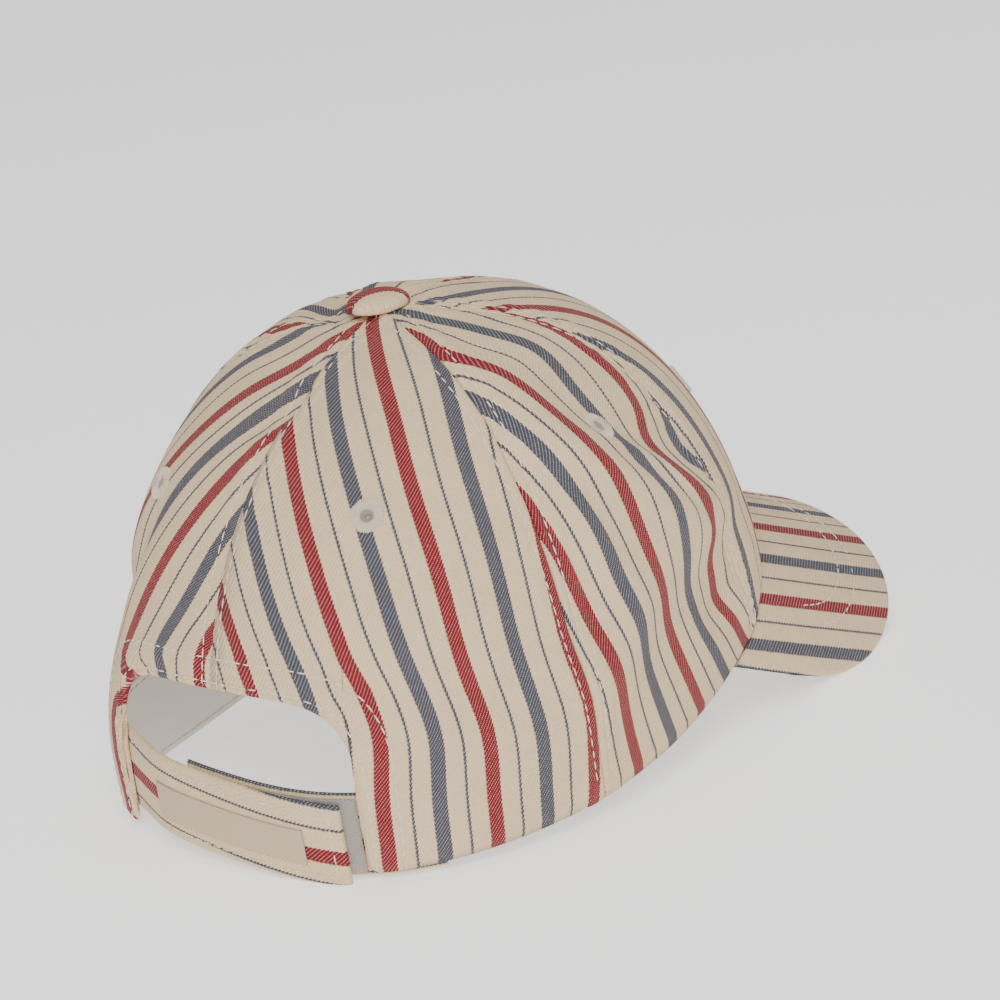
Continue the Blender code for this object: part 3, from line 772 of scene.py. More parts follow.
def striped_twill():
    """Yarn-dyed cotton twill, 3/1 and piece-washed.

    Its dyed warp lies over a pale weft, so the broad stripes are flecked with light along the
    twill's diagonal and their edges are stepped. It is matt, with a faint bloom of fibres.
    """
    sizes = bpy.context.scene.cap_sizes
    colours = bpy.context.scene.cap_colours
    made, tree, shader, place = new_material("yarn_dyed_cotton_twill")
    part = add_node(tree, "ShaderNodeSeparateXYZ", {0: place})
    across, run, pace = part.outputs
    pitch = sizes.twill_pitch / MM
    unit = sizes.stripe_unit / MM
    # Twill ribs, leaning from the warp. Each rib's line is broken into dots by the warp's yarns
    lean = math.radians(TWILL_DEGREES)
    slant = -math.sin(lean) / math.cos(lean)
    skew = add_node(tree, "ShaderNodeMath", {0: run, 1: slant, 2: across}, operation="MULTIPLY_ADD")
    waves = []
    for source, turns in (
        (skew, 2.0 * math.pi * math.cos(lean) / pitch),
        (across, 2.0 * math.pi / WARP_PITCH),
    ):
        phase = add_node(tree, "ShaderNodeMath", {0: source, 1: turns}, operation="MULTIPLY")
        waves.append(add_node(tree, "ShaderNodeMath", {0: phase}, operation="SINE"))
    rib, yarn = waves
    slub = add_node(tree, "ShaderNodeTexNoise", {"Vector": place, "Scale": 1.1, "Detail": 2.0})
    speckle = add_node(tree, "ShaderNodeTexNoise", {"Vector": place, "Scale": 2.6, "Detail": 1.0})
    # Stepped, slightly uneven edges of the stripes
    step = add_node(tree, "ShaderNodeMath", {0: rib, 1: STRIPE_STEP, 2: across}, operation="MULTIPLY_ADD")
    uneven = add_node(tree, "ShaderNodeMath", {0: slub, 1: STRIPE_UNEVEN, 2: step}, operation="MULTIPLY_ADD")
    centred = add_node(tree, "ShaderNodeMath", {0: uneven, 1: STRIPE_UNEVEN / 2.0}, operation="SUBTRACT")
    masks = []
    for centre, period, width in (
        (0.0, 4.0 * unit, sizes.stripe_width / MM),
        (2.0 * unit, 4.0 * unit, sizes.stripe_width / MM),
        (unit, 2.0 * unit, sizes.pin_width / MM),
    ):
        bounds = {0: centred, 1: centre + period / 2.0, 2: centre - period / 2.0}
        wrapped = add_node(tree, "ShaderNodeMath", bounds, operation="WRAP")
        offset = add_node(tree, "ShaderNodeMath", {0: wrapped, 1: centre}, operation="SUBTRACT")
        distance = add_node(tree, "ShaderNodeMath", {0: offset}, operation="ABSOLUTE")
        distance = add_node(tree, "ShaderNodeMath", {0: distance, 1: pace}, operation="DIVIDE")
        edge = {1: width / 2.0 - STRIPE_EDGE, 2: width / 2.0 + STRIPE_EDGE, 3: 1.0, 4: 0.0}
        masks.append(add_node(tree, "ShaderNodeMapRange", {0: distance, **edge}))
    # Flecks of pale weft between the dyed floats
    fleck = add_node(tree, "ShaderNodeMath", {0: yarn, 1: FLECK_YARN, 2: rib}, operation="MULTIPLY_ADD")
    speck = {0: speckle, 1: FLECK_SPECKLE, 2: fleck}
    fleck = add_node(tree, "ShaderNodeMath", speck, operation="MULTIPLY_ADD")
    low, high = FLECK_RANGE
    weft = add_node(tree, "ShaderNodeMapRange", {0: fleck, 1: low, 2: high, 3: 0.0, 4: FLECK_LIGHT})
    # Soft variation of the washed cloth, some centimetres wide
    cloud = add_node(tree, "ShaderNodeTexNoise", {"Vector": place, "Scale": 0.06, "Detail": 3.0})
    dark, light = CLOUD_SHADE
    shade = add_node(tree, "ShaderNodeMapRange", {0: cloud, 1: 0.3, 2: 0.7, 3: dark, 4: light})
    grainy = {0: speckle, 1: 0.3, 2: 0.7, 3: -GRAIN_SHADE, 4: GRAIN_SHADE}
    grain = add_node(tree, "ShaderNodeMapRange", grainy)
    shade = add_node(tree, "ShaderNodeMath", {0: shade, 1: grain}, operation="ADD")
    rib_shade = add_node(tree, "ShaderNodeMath", {0: rib, 1: RIB_SHADE, 2: shade}, operation="MULTIPLY_ADD")
    ground = (*colours.ground, 1.0)
    painted = ground
    for dye, mask in zip((colours.red, colours.blue, colours.blue), masks):
        mixed = add_node(tree, "ShaderNodeMix", {6: painted, 7: (*dye, 1.0), 0: mask}, data_type="RGBA")
        painted = mixed.outputs[2]
    flecked = add_node(tree, "ShaderNodeMix", {6: painted, 7: ground, 0: weft}, data_type="RGBA")
    worn = add_node(
        tree, "ShaderNodeVectorMath", {0: flecked.outputs[2], "Scale": rib_shade}, operation="SCALE"
    )
    tree.links.new(worn.outputs[0], shader.inputs["Base Color"])
    height = add_node(tree, "ShaderNodeMath", {0: yarn, 1: 0.25, 2: rib}, operation="MULTIPLY_ADD")
    height = add_node(tree, "ShaderNodeMath", {0: slub, 1: 1.2, 2: height}, operation="MULTIPLY_ADD")
    bump = add_node(tree, "ShaderNodeBump", {"Height": height, "Strength": 0.7, "Distance": 0.00009})
    tree.links.new(bump.outputs[0], shader.inputs["Normal"])
    shader.inputs["Roughness"].default_value = 0.88
    shader.inputs["IOR"].default_value = 1.45
    shader.inputs["Specular IOR Level"].default_value = 0.25
    shader.inputs["Sheen Weight"].default_value = 0.06
    shader.inputs["Sheen Roughness"].default_value = 0.6
    return made


def plain_cloth(name, colour, pitch, relief, variation, sheen):
    """Cloth of one colour: crossing yarns as two sines, with soft variation.

    Used for the pale cotton inside, the woven tape of the label and the knitted loop tape. The
    yarns' pitch is in millimetres, and each is matt with a bloom of loose fibres.
    """
    made, tree, shader, place = new_material(name)
    part = add_node(tree, "ShaderNodeSeparateXYZ", {0: place})
    waves = []
    for socket in (part.outputs[0], part.outputs[1]):
        phase = add_node(tree, "ShaderNodeMath", {0: socket, 1: 2.0 * math.pi / pitch}, operation="MULTIPLY")
        waves.append(add_node(tree, "ShaderNodeMath", {0: phase}, operation="SINE"))
    weave = add_node(tree, "ShaderNodeMath", {0: waves[0], 1: waves[1]}, operation="MULTIPLY")
    fibre = add_node(tree, "ShaderNodeTexNoise", {"Vector": place, "Scale": 1.6, "Detail": 3.0})
    cloud = add_node(tree, "ShaderNodeTexNoise", {"Vector": place, "Scale": 0.08, "Detail": 2.0})
    shade = add_node(tree, "ShaderNodeMapRange", {0: cloud, 1: 0.3, 2: 0.7, 3: 1.0 - variation, 4: 1.0})
    shade = add_node(tree, "ShaderNodeMath", {0: weave, 1: variation, 2: shade}, operation="MULTIPLY_ADD")
    painted = add_node(tree, "ShaderNodeVectorMath", {0: colour, "Scale": shade}, operation="SCALE")
    tree.links.new(painted.outputs[0], shader.inputs["Base Color"])
    height = add_node(tree, "ShaderNodeMath", {0: fibre, 1: 1.5, 2: weave}, operation="MULTIPLY_ADD")
    bump = add_node(tree, "ShaderNodeBump", {"Height": height, "Strength": 0.7, "Distance": relief * MM})
    tree.links.new(bump.outputs[0], shader.inputs["Normal"])
    shader.inputs["Roughness"].default_value = 0.9
    shader.inputs["Specular IOR Level"].default_value = 0.2
    shader.inputs["Sheen Weight"].default_value = sheen
    return made


def sewing_thread(name, colour, groove_painted_shade):
    """Twisted thread with a slight gloss, its twist as a fine unevenness of colour and relief.

    The third argument is the painted shade between two stitches that lie side by side: how much darker
    the thread is painted there, from the third part of the cloth places.
    """
    made, tree, shader, cloth = new_material(name)
    place = add_node(tree, "ShaderNodeTexCoord")
    twist = add_node(
        tree, "ShaderNodeTexNoise", {"Vector": place.outputs["Object"], "Scale": 900.0, "Detail": 2.0}
    )
    shade = add_node(tree, "ShaderNodeMapRange", {0: twist, 1: 0.3, 2: 0.7, 3: 0.88, 4: 1.04})
    part = add_node(tree, "ShaderNodeSeparateXYZ", {0: cloth})
    # Painted shade: the thread is darker where the third cloth place says it lies deep between stitches or
    # in a well
    groove_shade_range = {0: part.outputs[2], 1: 0.1, 2: 1.6, 3: 1.0, 4: 1.0 - groove_painted_shade}
    between = add_node(tree, "ShaderNodeMapRange", groove_shade_range)
    shade = add_node(tree, "ShaderNodeMath", {0: shade, 1: between}, operation="MULTIPLY")
    painted = add_node(tree, "ShaderNodeVectorMath", {0: colour, "Scale": shade}, operation="SCALE")
    tree.links.new(painted.outputs[0], shader.inputs["Base Color"])
    bump = add_node(tree, "ShaderNodeBump", {"Height": twist, "Strength": 0.5, "Distance": 0.00005})
    tree.links.new(bump.outputs[0], shader.inputs["Normal"])
    shader.inputs["Roughness"].default_value = 0.6
    shader.inputs["Specular IOR Level"].default_value = 0.35
    return made


def cloth_for(name):
    """Shared material of a name, made the first time that a piece asks for it."""
    if name in bpy.data.materials:
        return bpy.data.materials[name]
    colours = bpy.context.scene.cap_colours
    if name == "yarn_dyed_cotton_twill":
        return striped_twill()
    if name == "spun_polyester_thread":
        return sewing_thread(name, tuple(colours.thread), 0.0)
    if name == "undyed_cotton_eyelet_thread":
        # The eyelet's thread gets painted shade between its stitches and in its well
        return sewing_thread(name, tuple(colours.eyelet), 0.7)
    pitch, relief, variation, sheen, colour = {
        "plain_weave_cotton_lining": (0.55, 0.04, 0.03, 0.15, colours.lining),
        "knitted_nylon_loop_tape": (0.8, 0.22, 0.10, 0.5, colours.tape),
        "woven_cotton_label_tape": (0.45, 0.05, 0.03, 0.1, colours.label),
    }[name]
    return plain_cloth(name, tuple(colour), pitch, relief, variation, sheen)


# The pieces

# Each panel's stripes: how far across them a place is, in millimetres, as a sum of powers of the
# place across the panel in units of ACROSS_UNIT, a row for each power. In a row are the shares of
# the powers of its place up in units of UP_UNIT less 1. A red stripe is at 0
ACROSS_UNIT = 40.0
UP_UNIT = 80.0
STRIPE_COURSES = {
    "rear_right": ((-17.22, 14.29, 6.60, -3.51), (39.58, -2.71, 0.52), (2.50, 2.36)),
    "rear_left": ((22.49, 21.73, -10.28, 3.28), (38.36, 7.57, 2.56), (-0.57, -8.42)),
    "middle_right": ((12.73, 12.34, -6.66, -1.01), (47.35, -2.86, -7.56), (-6.32, -7.53)),
    "middle_left": ((9.85, 8.89, -2.95, 2.75), (43.29, -4.18, -3.19), (-4.89, -3.63)),
    "front_right": ((6.26, 8.55, 15.86), (31.89, -1.60), (3.66,)),
    "front_left": ((5.57, 21.16, -1.19), (36.96, -1.34)),
}
# Where the stripes are drawn aside by the sewing and the washing: place across and up, spread
# across and up, tilt, and the millimetres that they are moved
STRIPE_BENDS = {
    "rear_right": (
        (-6.1, 40.5, 55.9, 16.3, -0.31, -4.61),
        (-16.5, 49.5, 8.9, 6.8, 1.26, 0.80),
        (19.5, 39.0, 23.7, 30.0, -0.14, 2.92),
        (18.0, 97.9, 18.5, 25.5, 0.00, 1.54),
    ),
    "rear_left": (
        (-8.1, 139.4, 40.8, 10.1, 0.35, 2.57),
        (-9.2, 155.2, 10.5, 35.0, -0.51, 3.29),
        (9.3, 99.8, 25.3, 20.3, -1.19, 2.33),
        (-11.3, -10.0, 20.8, 31.0, 0.59, 25.0),
        (-39.3, 52.3, 38.0, 11.8, -0.43, -6.48),
        (-24.8, 44.3, 14.8, 7.0, -0.35, 13.92),
        (-14.0, 18.0, 14.0, 22.0, 0.00, -1.90),
    ),
    "middle_right": (
        (20.2, 76.1, 13.7, 9.2, -0.22, 7.84),
        (30.1, 57.6, 35.0, 18.8, -0.49, -7.17),
        (2.0, 119.7, 19.3, 17.3, -0.37, -7.62),
        (-20.6, 122.7, 25.3, 9.2, 0.15, 5.76),
        (20.0, 95.3, 8.4, 14.8, -0.20, -4.65),
        (28.5, 80.0, 7.0, 14.0, 0.00, 3.2),
    ),
}
PANEL_SEAMS = {
    "rear": (BACK_DEGREES, REAR_SEAM_DEGREES),
    "middle": (REAR_SEAM_DEGREES, FRONT_SEAM_DEGREES),
    "front": (FRONT_SEAM_DEGREES, FRONT_DEGREES),
}
HANDS = {"right": 1, "left": -1}


def flat_place(angle, rise, near, far):
    """Place of a panel's points on its flat pattern, across its middle line and up from the hem.

    Across is the length of the level line from the panel's middle line, and up is the length run
    along the middle line.
    """
    middle = panel_middle(near, far, rise)
    share = np.linspace(0.0, 1.0, 24)
    swept = middle[..., None] + (angle - middle)[..., None] * share
    line = smooth_crown(swept, np.broadcast_to(rise[..., None], swept.shape))
    across = arc_lengths(line, 2)[..., -1] * np.sign(angle - middle)
    rises = np.linspace(0.0, 1.0, 400)
    run = arc_lengths(smooth_crown(panel_middle(near, far, rises), rises), 0)
    return across, np.interp(rise, rises, run)


def panel_cloth(place, hand, angle, rise):
    """Cloth places of a panel's points: across the stripes, along them, and how fast they pass.

    The last is the size of the place across's gradient over the cloth, from the grid's two
    tangents, so that a stripe keeps its width where its neighbours are drawn together.
    """
    name = f"{place}_{hand}"
    across, up = flat_place(angle, rise, *PANEL_SEAMS[place])
    wide = across / ACROSS_UNIT
    tall = up / UP_UNIT - 1.0
    aside = np.zeros_like(across)
    for power, row in enumerate(STRIPE_COURSES[name]):
        aside = aside + np.polynomial.polynomial.polyval(tall, row) * wide**power
    for middle, height, spread, climb, tilt, drawn in STRIPE_BENDS.get(name, ()):
        level = up - height - tilt * (across - middle)
        aside = aside + drawn * bell(across, middle, spread) * bell(level, 0.0, climb)
    surface = folded_crown(HANDS[hand] * angle, rise)
    first, second = np.gradient(surface, axis=(0, 1))
    first_change, second_change = np.gradient(aside)
    square = (first**2).sum(-1), (first * second).sum(-1), (second**2).sum(-1)
    change = first_change**2 * square[2] + second_change**2 * square[0]
    change = change - 2.0 * first_change * second_change * square[1]
    pace = np.sqrt(np.maximum(change, 0.0) / np.maximum(square[0] * square[2] - square[1] ** 2, 1e-9))
    return np.stack([aside, up * HANDS[hand], np.clip(pace, 0.7, 2.2)], axis=-1)


def eyelet_frame(place, hand):
    """Point on the crown's outer face and the outward axis of a panel's eyelet."""
    angle = np.array(HANDS[hand] * panel_middle(*PANEL_SEAMS[place], EYELET_RISE_SHARE))
    rise = np.array(EYELET_RISE_SHARE)
    return folded_crown(angle, rise), surface_normal(folded_crown, angle, rise, EYELET_STEP)


def panel_piece(place, hand):
    """One crown panel: a double sheet with rolled edges, sewn margins and its eyelet's hole."""
    near, far = PANEL_SEAMS[place]
    side = HANDS[hand]
    margin = bpy.context.scene.cap_sizes.seam_margin / MM
    angle, rise = panel_grid(near, far, place == "rear")
    surface = folded_crown(side * angle, rise)
    seam_away = np.minimum(edge_distance(surface, surface[0]), edge_distance(surface, surface[-1]))
    low_away = edge_distance(surface, surface[:, 0])
    top_away = edge_distance(surface, surface[:, -1])
    run = arc_lengths(surface, 1)
    out = sewn_relief(seam_away, margin, run, SEAM_ALLOWANCE)
    lined = np.ones((surface.shape[0] - 1, surface.shape[1] - 1), dtype=bool)
    if place == "rear":
        arch = surface[: round(PANEL_GRID[0] * sum(ARCH_SHARES)), 0]
        arch_away = edge_distance(surface, arch)
        edge_margin, hem_margin = ARCH_STITCH_MARGINS
        out = out + sewn_relief(arch_away, edge_margin, arc_lengths(surface, 0), ARCH_ALLOWANCE)
        depth, spread = ARCH_HEM_DRAW
        out = out - depth * bell(arch_away, hem_margin, spread)
        # The striped cloth is turned in round the arch
        lined = arch_away[:-1, :-1] > ARCH_HEM
    roll = rolled(np.minimum(low_away, top_away), CLOTH / 2.0)
    roll = np.maximum(roll, rolled(seam_away, SEAM_ROLL))
    outer = crown_skin(side * angle, rise, out - roll)
    most, part = INNER_RELIEF
    inner = crown_skin(side * angle, rise, np.minimum(out, most) * part - CLOTH + roll)
    hole, _ = eyelet_frame(place, hand)
    centres = (surface[:-1, :-1] + surface[1:, 1:] + surface[:-1, 1:] + surface[1:, :-1]) / 4.0
    keep = np.linalg.norm(centres - hole, axis=-1) > EYELET_CUT
    cloth = panel_cloth(place, hand, angle, rise)
    materials = [cloth_for("yarn_dyed_cotton_twill"), cloth_for("plain_weave_cotton_lining")]
    made = shell_piece(f"{place}_{hand}_cloth", outer, inner, cloth, materials, keep, lined)
    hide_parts(f"panel_{place}_{hand}")


def seam_rows():
    """Lines beside every crown seam, one on each side, with their normals."""
    margin = bpy.context.scene.cap_sizes.seam_margin / MM
    rows = []
    foot, top = SEAM_ROW_RISES
    low_back = float(rise_at_height(np.array(0.0), np.array(ARCH_TOP + 0.8)))
    for seam, low, sides in (
        (BACK_DEGREES, low_back, (1,)),
        (REAR_SEAM_DEGREES, foot, (1, -1)),
        (FRONT_SEAM_DEGREES, foot, (1, -1)),
        (FRONT_DEGREES, foot, (1,)),
    ):
        rise = np.linspace(low, top, 160)
        for side in sides:
            for beside in (-1, 1):
                angle = seam_angle(seam, rise)
                angle = side * angle + beside * margin / plan_reach(angle, rise)
                line = crown_skin(angle, rise, STITCH_LIFT)
                rows.append((line, surface_normal(folded_crown, angle, rise, ROW_STEP)))
    return rows


def arch_rows():
    """Two lines round the arch and its feet, one near its edge and one at its turned width."""
    rows = []
    for away in ARCH_STITCH_MARGINS:
        turn = np.linspace(-math.pi / 2.0, math.pi / 2.0, 240)
        angle, rise = arch_curve(np.abs(turn), away)
        angle = angle * np.sign(turn)
        foot = np.linspace(1.0, 0.0, 12)[1:]
        angle = np.concatenate([angle[:1] * np.ones(11), angle, angle[-1:] * np.ones(11)])
        rise = np.concatenate([rise[0] * foot[::-1], rise, rise[-1] * foot])
        line = crown_skin(angle, rise, STITCH_LIFT)
        rows.append((line, surface_normal(folded_crown, angle, rise, ROW_STEP)))
    return rows


def peak_top():
    """Upper face of the peak: straight columns from the hem to a superellipse, bent and sloped.

    The first row is a tongue under the crown's hem.
    """
    across, out_count = PEAK_GRID
    turn = np.linspace(0.0, math.pi, across)
    cosine = np.cos(turn)
    power = 2.0 / PEAK_PLAN_POWER
    x = -PEAK_HALF_WIDTH * np.sign(cosine) * np.abs(cosine) ** power
    edge_y = PEAK_SHOULDER - FRONT_REACH - (PEAK_SHOULDER + PEAK_REACH) * np.sin(turn) ** power
    root_share = (np.abs(x) / HALF_WIDTH) ** FRONT_PLAN_POWER
    root_y = -FRONT_REACH * (1.0 - root_share) ** (1.0 / FRONT_PLAN_POWER)
    root_angle = np.arctan2(-x, root_y)
    root_z = hem_height(root_angle) - FIT_GAP
    out = 1.0 - (1.0 - np.linspace(0.0, 1.0, out_count)) ** 1.4
    grid_x = np.broadcast_to(x[:, None], (across, out_count))
    grid_y = root_y[:, None] + (edge_y - root_y)[:, None] * out
    sag = PEAK_BEND - np.sqrt(PEAK_BEND**2 - grid_x**2)
    fall = math.tan(math.radians(PEAK_SLOPE_DEGREES)) * (grid_y + FRONT_REACH)
    grid_z = hem_height(math.pi) - sag + fall
    grid_z = grid_z + (root_z - grid_z[:, 0])[:, None] * (1.0 - out) ** 2
    top = np.stack([grid_x, grid_y, grid_z], axis=-1)
    inward = surface_normal(smooth_crown, root_angle, np.zeros(across), CROWN_STEP) * (1.0, 1.0, 0.0)
    tongue = top[:, 0] - inward * CLOTH
    return np.concatenate([tongue[:, None], top], axis=1)


def grid_normal(points):
    """Unit normals of a grid of points, by differences along its rows and columns."""
    normal = np.cross(np.gradient(points, axis=1), np.gradient(points, axis=0))
    normal = normal / np.maximum(np.linalg.norm(normal, axis=-1, keepdims=True), 1e-12)
    return normal * np.sign(normal[..., 2:].sum())


def peak_surface():
    """Upper face, its normals, and each point's distance from the free edge."""
    top = peak_top()
    normal = grid_normal(top[:, 1:])
    normal = np.concatenate([normal[:, :1], normal], axis=1)
    away = edge_distance(top, top[:, -1])
    return top, normal, away


def peak_piece():
    """The peak: a board in striped cloth, with a rolled edge and two rows of stitches drawn in."""
    top, normal, away = peak_surface()
    roll = rolled(away, PEAK_THICKNESS / 2.0)
    depth, spread = PEAK_DRAW
    draw = sum(depth * bell(away, margin, spread) for margin in PEAK_STITCH_MARGINS)
    outer = top - normal * (roll + draw)[..., None]
    inner = top - normal * (PEAK_THICKNESS - roll - draw)[..., None]
    arc = PEAK_BEND * np.arcsin(top[..., 0] / PEAK_BEND)
    cloth = np.stack([arc - PEAK_RED, -top[..., 1], np.ones_like(arc)], axis=-1)
    made = shell_piece("peak_cloth", outer, inner, cloth, [cloth_for("yarn_dyed_cotton_twill")])
    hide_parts("peak")


def level_crossings(grid, normal, away, margin):
    """Points along a grid's lines where the distance from the edge first falls to a margin."""
    inside = away > margin
    lines = np.nonzero(inside.any(axis=1) & ~inside[:, -1])[0]
    last = away.shape[1] - 1 - np.argmax(inside[lines][:, ::-1], axis=1)
    near, far = away[lines, last], away[lines, last + 1]
    share = ((near - margin) / (near - far))[:, None]
    here, there = grid[lines, last], grid[lines, last + 1]
    return here + (there - here) * share, normal[lines, last]


def peak_rows():
    """Two lines on the peak at their distances from its edge, from one root to the other.

    Beside the peak's middle they are found along its columns, and near each end along its rows.
    """
    top, normal, away = peak_surface()
    rows = []
    for margin in PEAK_STITCH_MARGINS:
        parts = []
        half = top.shape[0] // 2
        for order in (slice(half, None), slice(half - 1, None, -1)):
            ends = [values[order].swapaxes(0, 1)[1:] for values in (top, normal, away)]
            line, up = level_crossings(*ends, margin)
            kept = np.abs(line[:, 0]) > PEAK_ROW_TURN
            parts.append((line[kept], up[kept]))
        line, up = level_crossings(top[:, 1:], normal[:, 1:], away[:, 1:], margin)
        kept = np.abs(line[:, 0]) <= PEAK_ROW_TURN
        (first, first_up), (second, second_up) = parts
        if first[0, 0] > 0.0:
            (first, first_up), (second, second_up) = parts[::-1]
        line = np.concatenate([first, line[kept], second[::-1]])
        up = np.concatenate([first_up, up[kept], second_up[::-1]])
        rows.append((line - up * PEAK_STITCH_SINK, up))
    return rows


def sweatband_piece():
    """Band inside the hem, from one foot of the arch round the front to the other."""
    start = foot_angle() * BAND_START_SHARE
    across, up = BAND_GRID
    angle = np.linspace(start, 2.0 * math.pi - start, across)[:, None]
    share = crowded(up, 0.7)
    height = hem_height(angle) + BAND_HEM_CLEARANCE + (BAND_HEIGHT - BAND_HEM_CLEARANCE) * share
    angle = np.broadcast_to(angle, height.shape)
    depth = CLOTH + LINING_GAP
    middle = wall_point(angle, height, -depth - BAND_THICKNESS / 2.0)
    run = arc_lengths(middle, 1)
    away = np.minimum(run, run[:, -1:] - run)
    ends = arc_lengths(middle, 0)
    away = np.minimum(away, np.minimum(ends, ends[-1:] - ends))
    roll = rolled(away, BAND_THICKNESS / 2.0)
    quilt_rise, margin, spread = BAND_QUILT
    quilt = quilt_rise * bell(away, margin, spread)
    outer = wall_point(angle, height, -depth - roll)
    inner = wall_point(angle, height, -depth - BAND_THICKNESS + roll + quilt)
    cloth = np.stack([ends, run, np.zeros_like(run)], axis=-1)
    made = shell_piece("sweatband_cotton", outer, inner, cloth, [cloth_for("plain_weave_cotton_lining")])
    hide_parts("sweatband")


def band_rows():
    """Lines of stitches near the upper edge of the sweatband, on its inner face."""
    start = foot_angle() * BAND_START_SHARE
    angle = np.linspace(start + BAND_STITCH_END, 2.0 * math.pi - start - BAND_STITCH_END, 400)
    rows = []
    for height in (BAND_STITCH_MARGIN, BAND_HEIGHT - BAND_STITCH_MARGIN):
        out = -CLOTH - LINING_GAP - BAND_THICKNESS - BAND_STITCH_LIFT
        line = wall_point(angle, hem_height(angle) + height, out)
        rows.append((line, -surface_normal(smooth_crown, angle, np.full(len(angle), 0.1), CROWN_STEP)))
    return rows


def course_value(course, column, place):
    """Value of a course's column at a place along it, by a smooth cubic through its rows."""
    rows = np.array(course)
    knots = rows[:, 0]
    values = rows[:, column]
    slopes = np.gradient(values, knots)
    row = np.clip(np.searchsorted(knots, place) - 1, 0, len(knots) - 2)
    length = knots[row + 1] - knots[row]
    share = (place - knots[row]) / length
    start = (1.0 + 2.0 * share) * (1.0 - share) ** 2 * values[row]
    end = share**2 * (3.0 - 2.0 * share) * values[row + 1]
    lean = share * (1.0 - share) ** 2 * slopes[row] - share**2 * (1.0 - share) * slopes[row + 1]
    return start + end + length * lean


def course_point(course, place, across, drop, out):
    """Point of a strap's face at a place along its course and a distance across it."""
    height = (course_value(course, 1, place) - drop) * STRAP_WIDTH + across
    lifted = TAPE_THICKNESS + STRAP_THICKNESS + 2.0 * FIT_GAP
    level = lifted * course_value(course, 2, place) - CLOTH - LINING_GAP
    return wall_point(place * foot_angle(), height, level + out)


def strap_piece(name, node, course, span, size, drop, seat, looks, stripes=(0.0, 0.0)):
    """Strap over a span of a course: a double sheet with rolled edges, puffed between its rows."""
    width, thickness = size
    length_count, across_count = STRAP_GRID
    place = np.linspace(*span, length_count)[:, None]
    across = (crowded(across_count, STRAP_CROWDING) - 0.5)[None] * width
    place, across = np.broadcast_arrays(place, across)
    face = course_point(course, place, across, drop, seat)
    run = arc_lengths(face, 0)
    ends = np.minimum(run, run[-1:] - run)
    sides = width / 2.0 - np.abs(across)
    away = np.minimum(ends, sides)
    roll = rolled(away, thickness / 2.0)
    puff = eased(away, *STRAP_PUFF_START) - bell(away, looks["margin"], STRAP_DRAW_SPREAD)
    relief = looks["puff"] * puff
    outer = course_point(course, place, across, drop, seat + relief - roll)
    inner = course_point(course, place, across, drop, seat - thickness + roll)
    share = (place - span[0]) / (span[1] - span[0])
    red = stripes[0] + (stripes[1] - stripes[0]) * share
    cloth = np.stack([across - red, run, np.ones_like(run)], axis=-1)
    made = shell_piece(name, outer, inner, cloth, [cloth_for(looks["cloth"])])
    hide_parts(node)


def button_stripes(x, y):
    """Places across and along the stripes of the button's cloth, which is drawn over its rim.

    The red stripe runs round the rim on one side: a place across it is the distance from a point
    on the other side of the rim, in an ellipse.
    """
    aim = math.radians(BUTTON_STRIPE_DEGREES)
    toward = (x * math.cos(aim) + y * math.sin(aim)) / BUTTON_RADIUS
    beside = (y * math.cos(aim) - x * math.sin(aim)) / BUTTON_RADIUS
    ring = np.hypot(np.maximum(toward + BUTTON_RING_SETBACK, 0.0), beside * BUTTON_RING_FLATNESS)
    place = (ring - BUTTON_RING_SHARE) * BUTTON_RADIUS * BUTTON_STRIPE_STRETCH
    return place, beside * BUTTON_RADIUS


def button_piece():
    """Covered button over the apex: a profile of radius and height carried round its axis."""
    flange_top = -(CLOTH + APEX_FALL + FIT_GAP)
    edge = BUTTON_RIM / 3.0
    corner = np.linspace(0.0, math.pi / 2.0, 7)
    low = [
        (BUTTON_RADIUS - edge + edge * math.sin(step), FIT_GAP + edge - edge * math.cos(step))
        for step in corner
    ]
    share = np.cos(np.linspace(0.0, math.pi / 2.0, 22))
    out_power, up_power = BUTTON_DOME_POWERS
    dome = [
        (
            BUTTON_RADIUS * part,
            FIT_GAP + edge + (BUTTON_RIM - edge + BUTTON_CROWN) * (1.0 - part**out_power) ** up_power,
        )
        for part in share
    ]
    profile = [
        (0.0, flange_top - BUTTON_FLANGE),
        (BUTTON_FLANGE_RADIUS, flange_top - BUTTON_FLANGE),
        (BUTTON_FLANGE_RADIUS, flange_top),
        (BUTTON_POST_RADIUS, flange_top),
        (BUTTON_POST_RADIUS, FIT_GAP),
        *low,
        *dome[1:],
    ]
    radius, height = np.array(profile).T
    radius[-1] = 0.0
    turn = np.linspace(0.0, 2.0 * math.pi, BUTTON_SIDES, endpoint=False)
    depth, spread = BUTTON_PLEAT_DEPTH
    pleat = 1.0 + depth * np.sin(turn * BUTTON_PLEATS)[:, None] * bell(height, FIT_GAP + edge, spread)
    x = np.cos(turn)[:, None] * radius * pleat
    y = np.sin(turn)[:, None] * radius * pleat
    points = np.stack([x, y, np.broadcast_to(height, x.shape)], axis=-1)
    faces = ring_faces(BUTTON_SIDES, len(profile), False)
    cloth = np.stack([*button_stripes(x, y), np.ones_like(x)], axis=-1)
    points = points.reshape(-1, 3) + (0.0, APEX_SETBACK, CROWN_RISE + APEX_LIFT)
    made = mesh_piece("button_cloth", points, faces, cloth, [cloth_for("yarn_dyed_cotton_twill")])
    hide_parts("button")


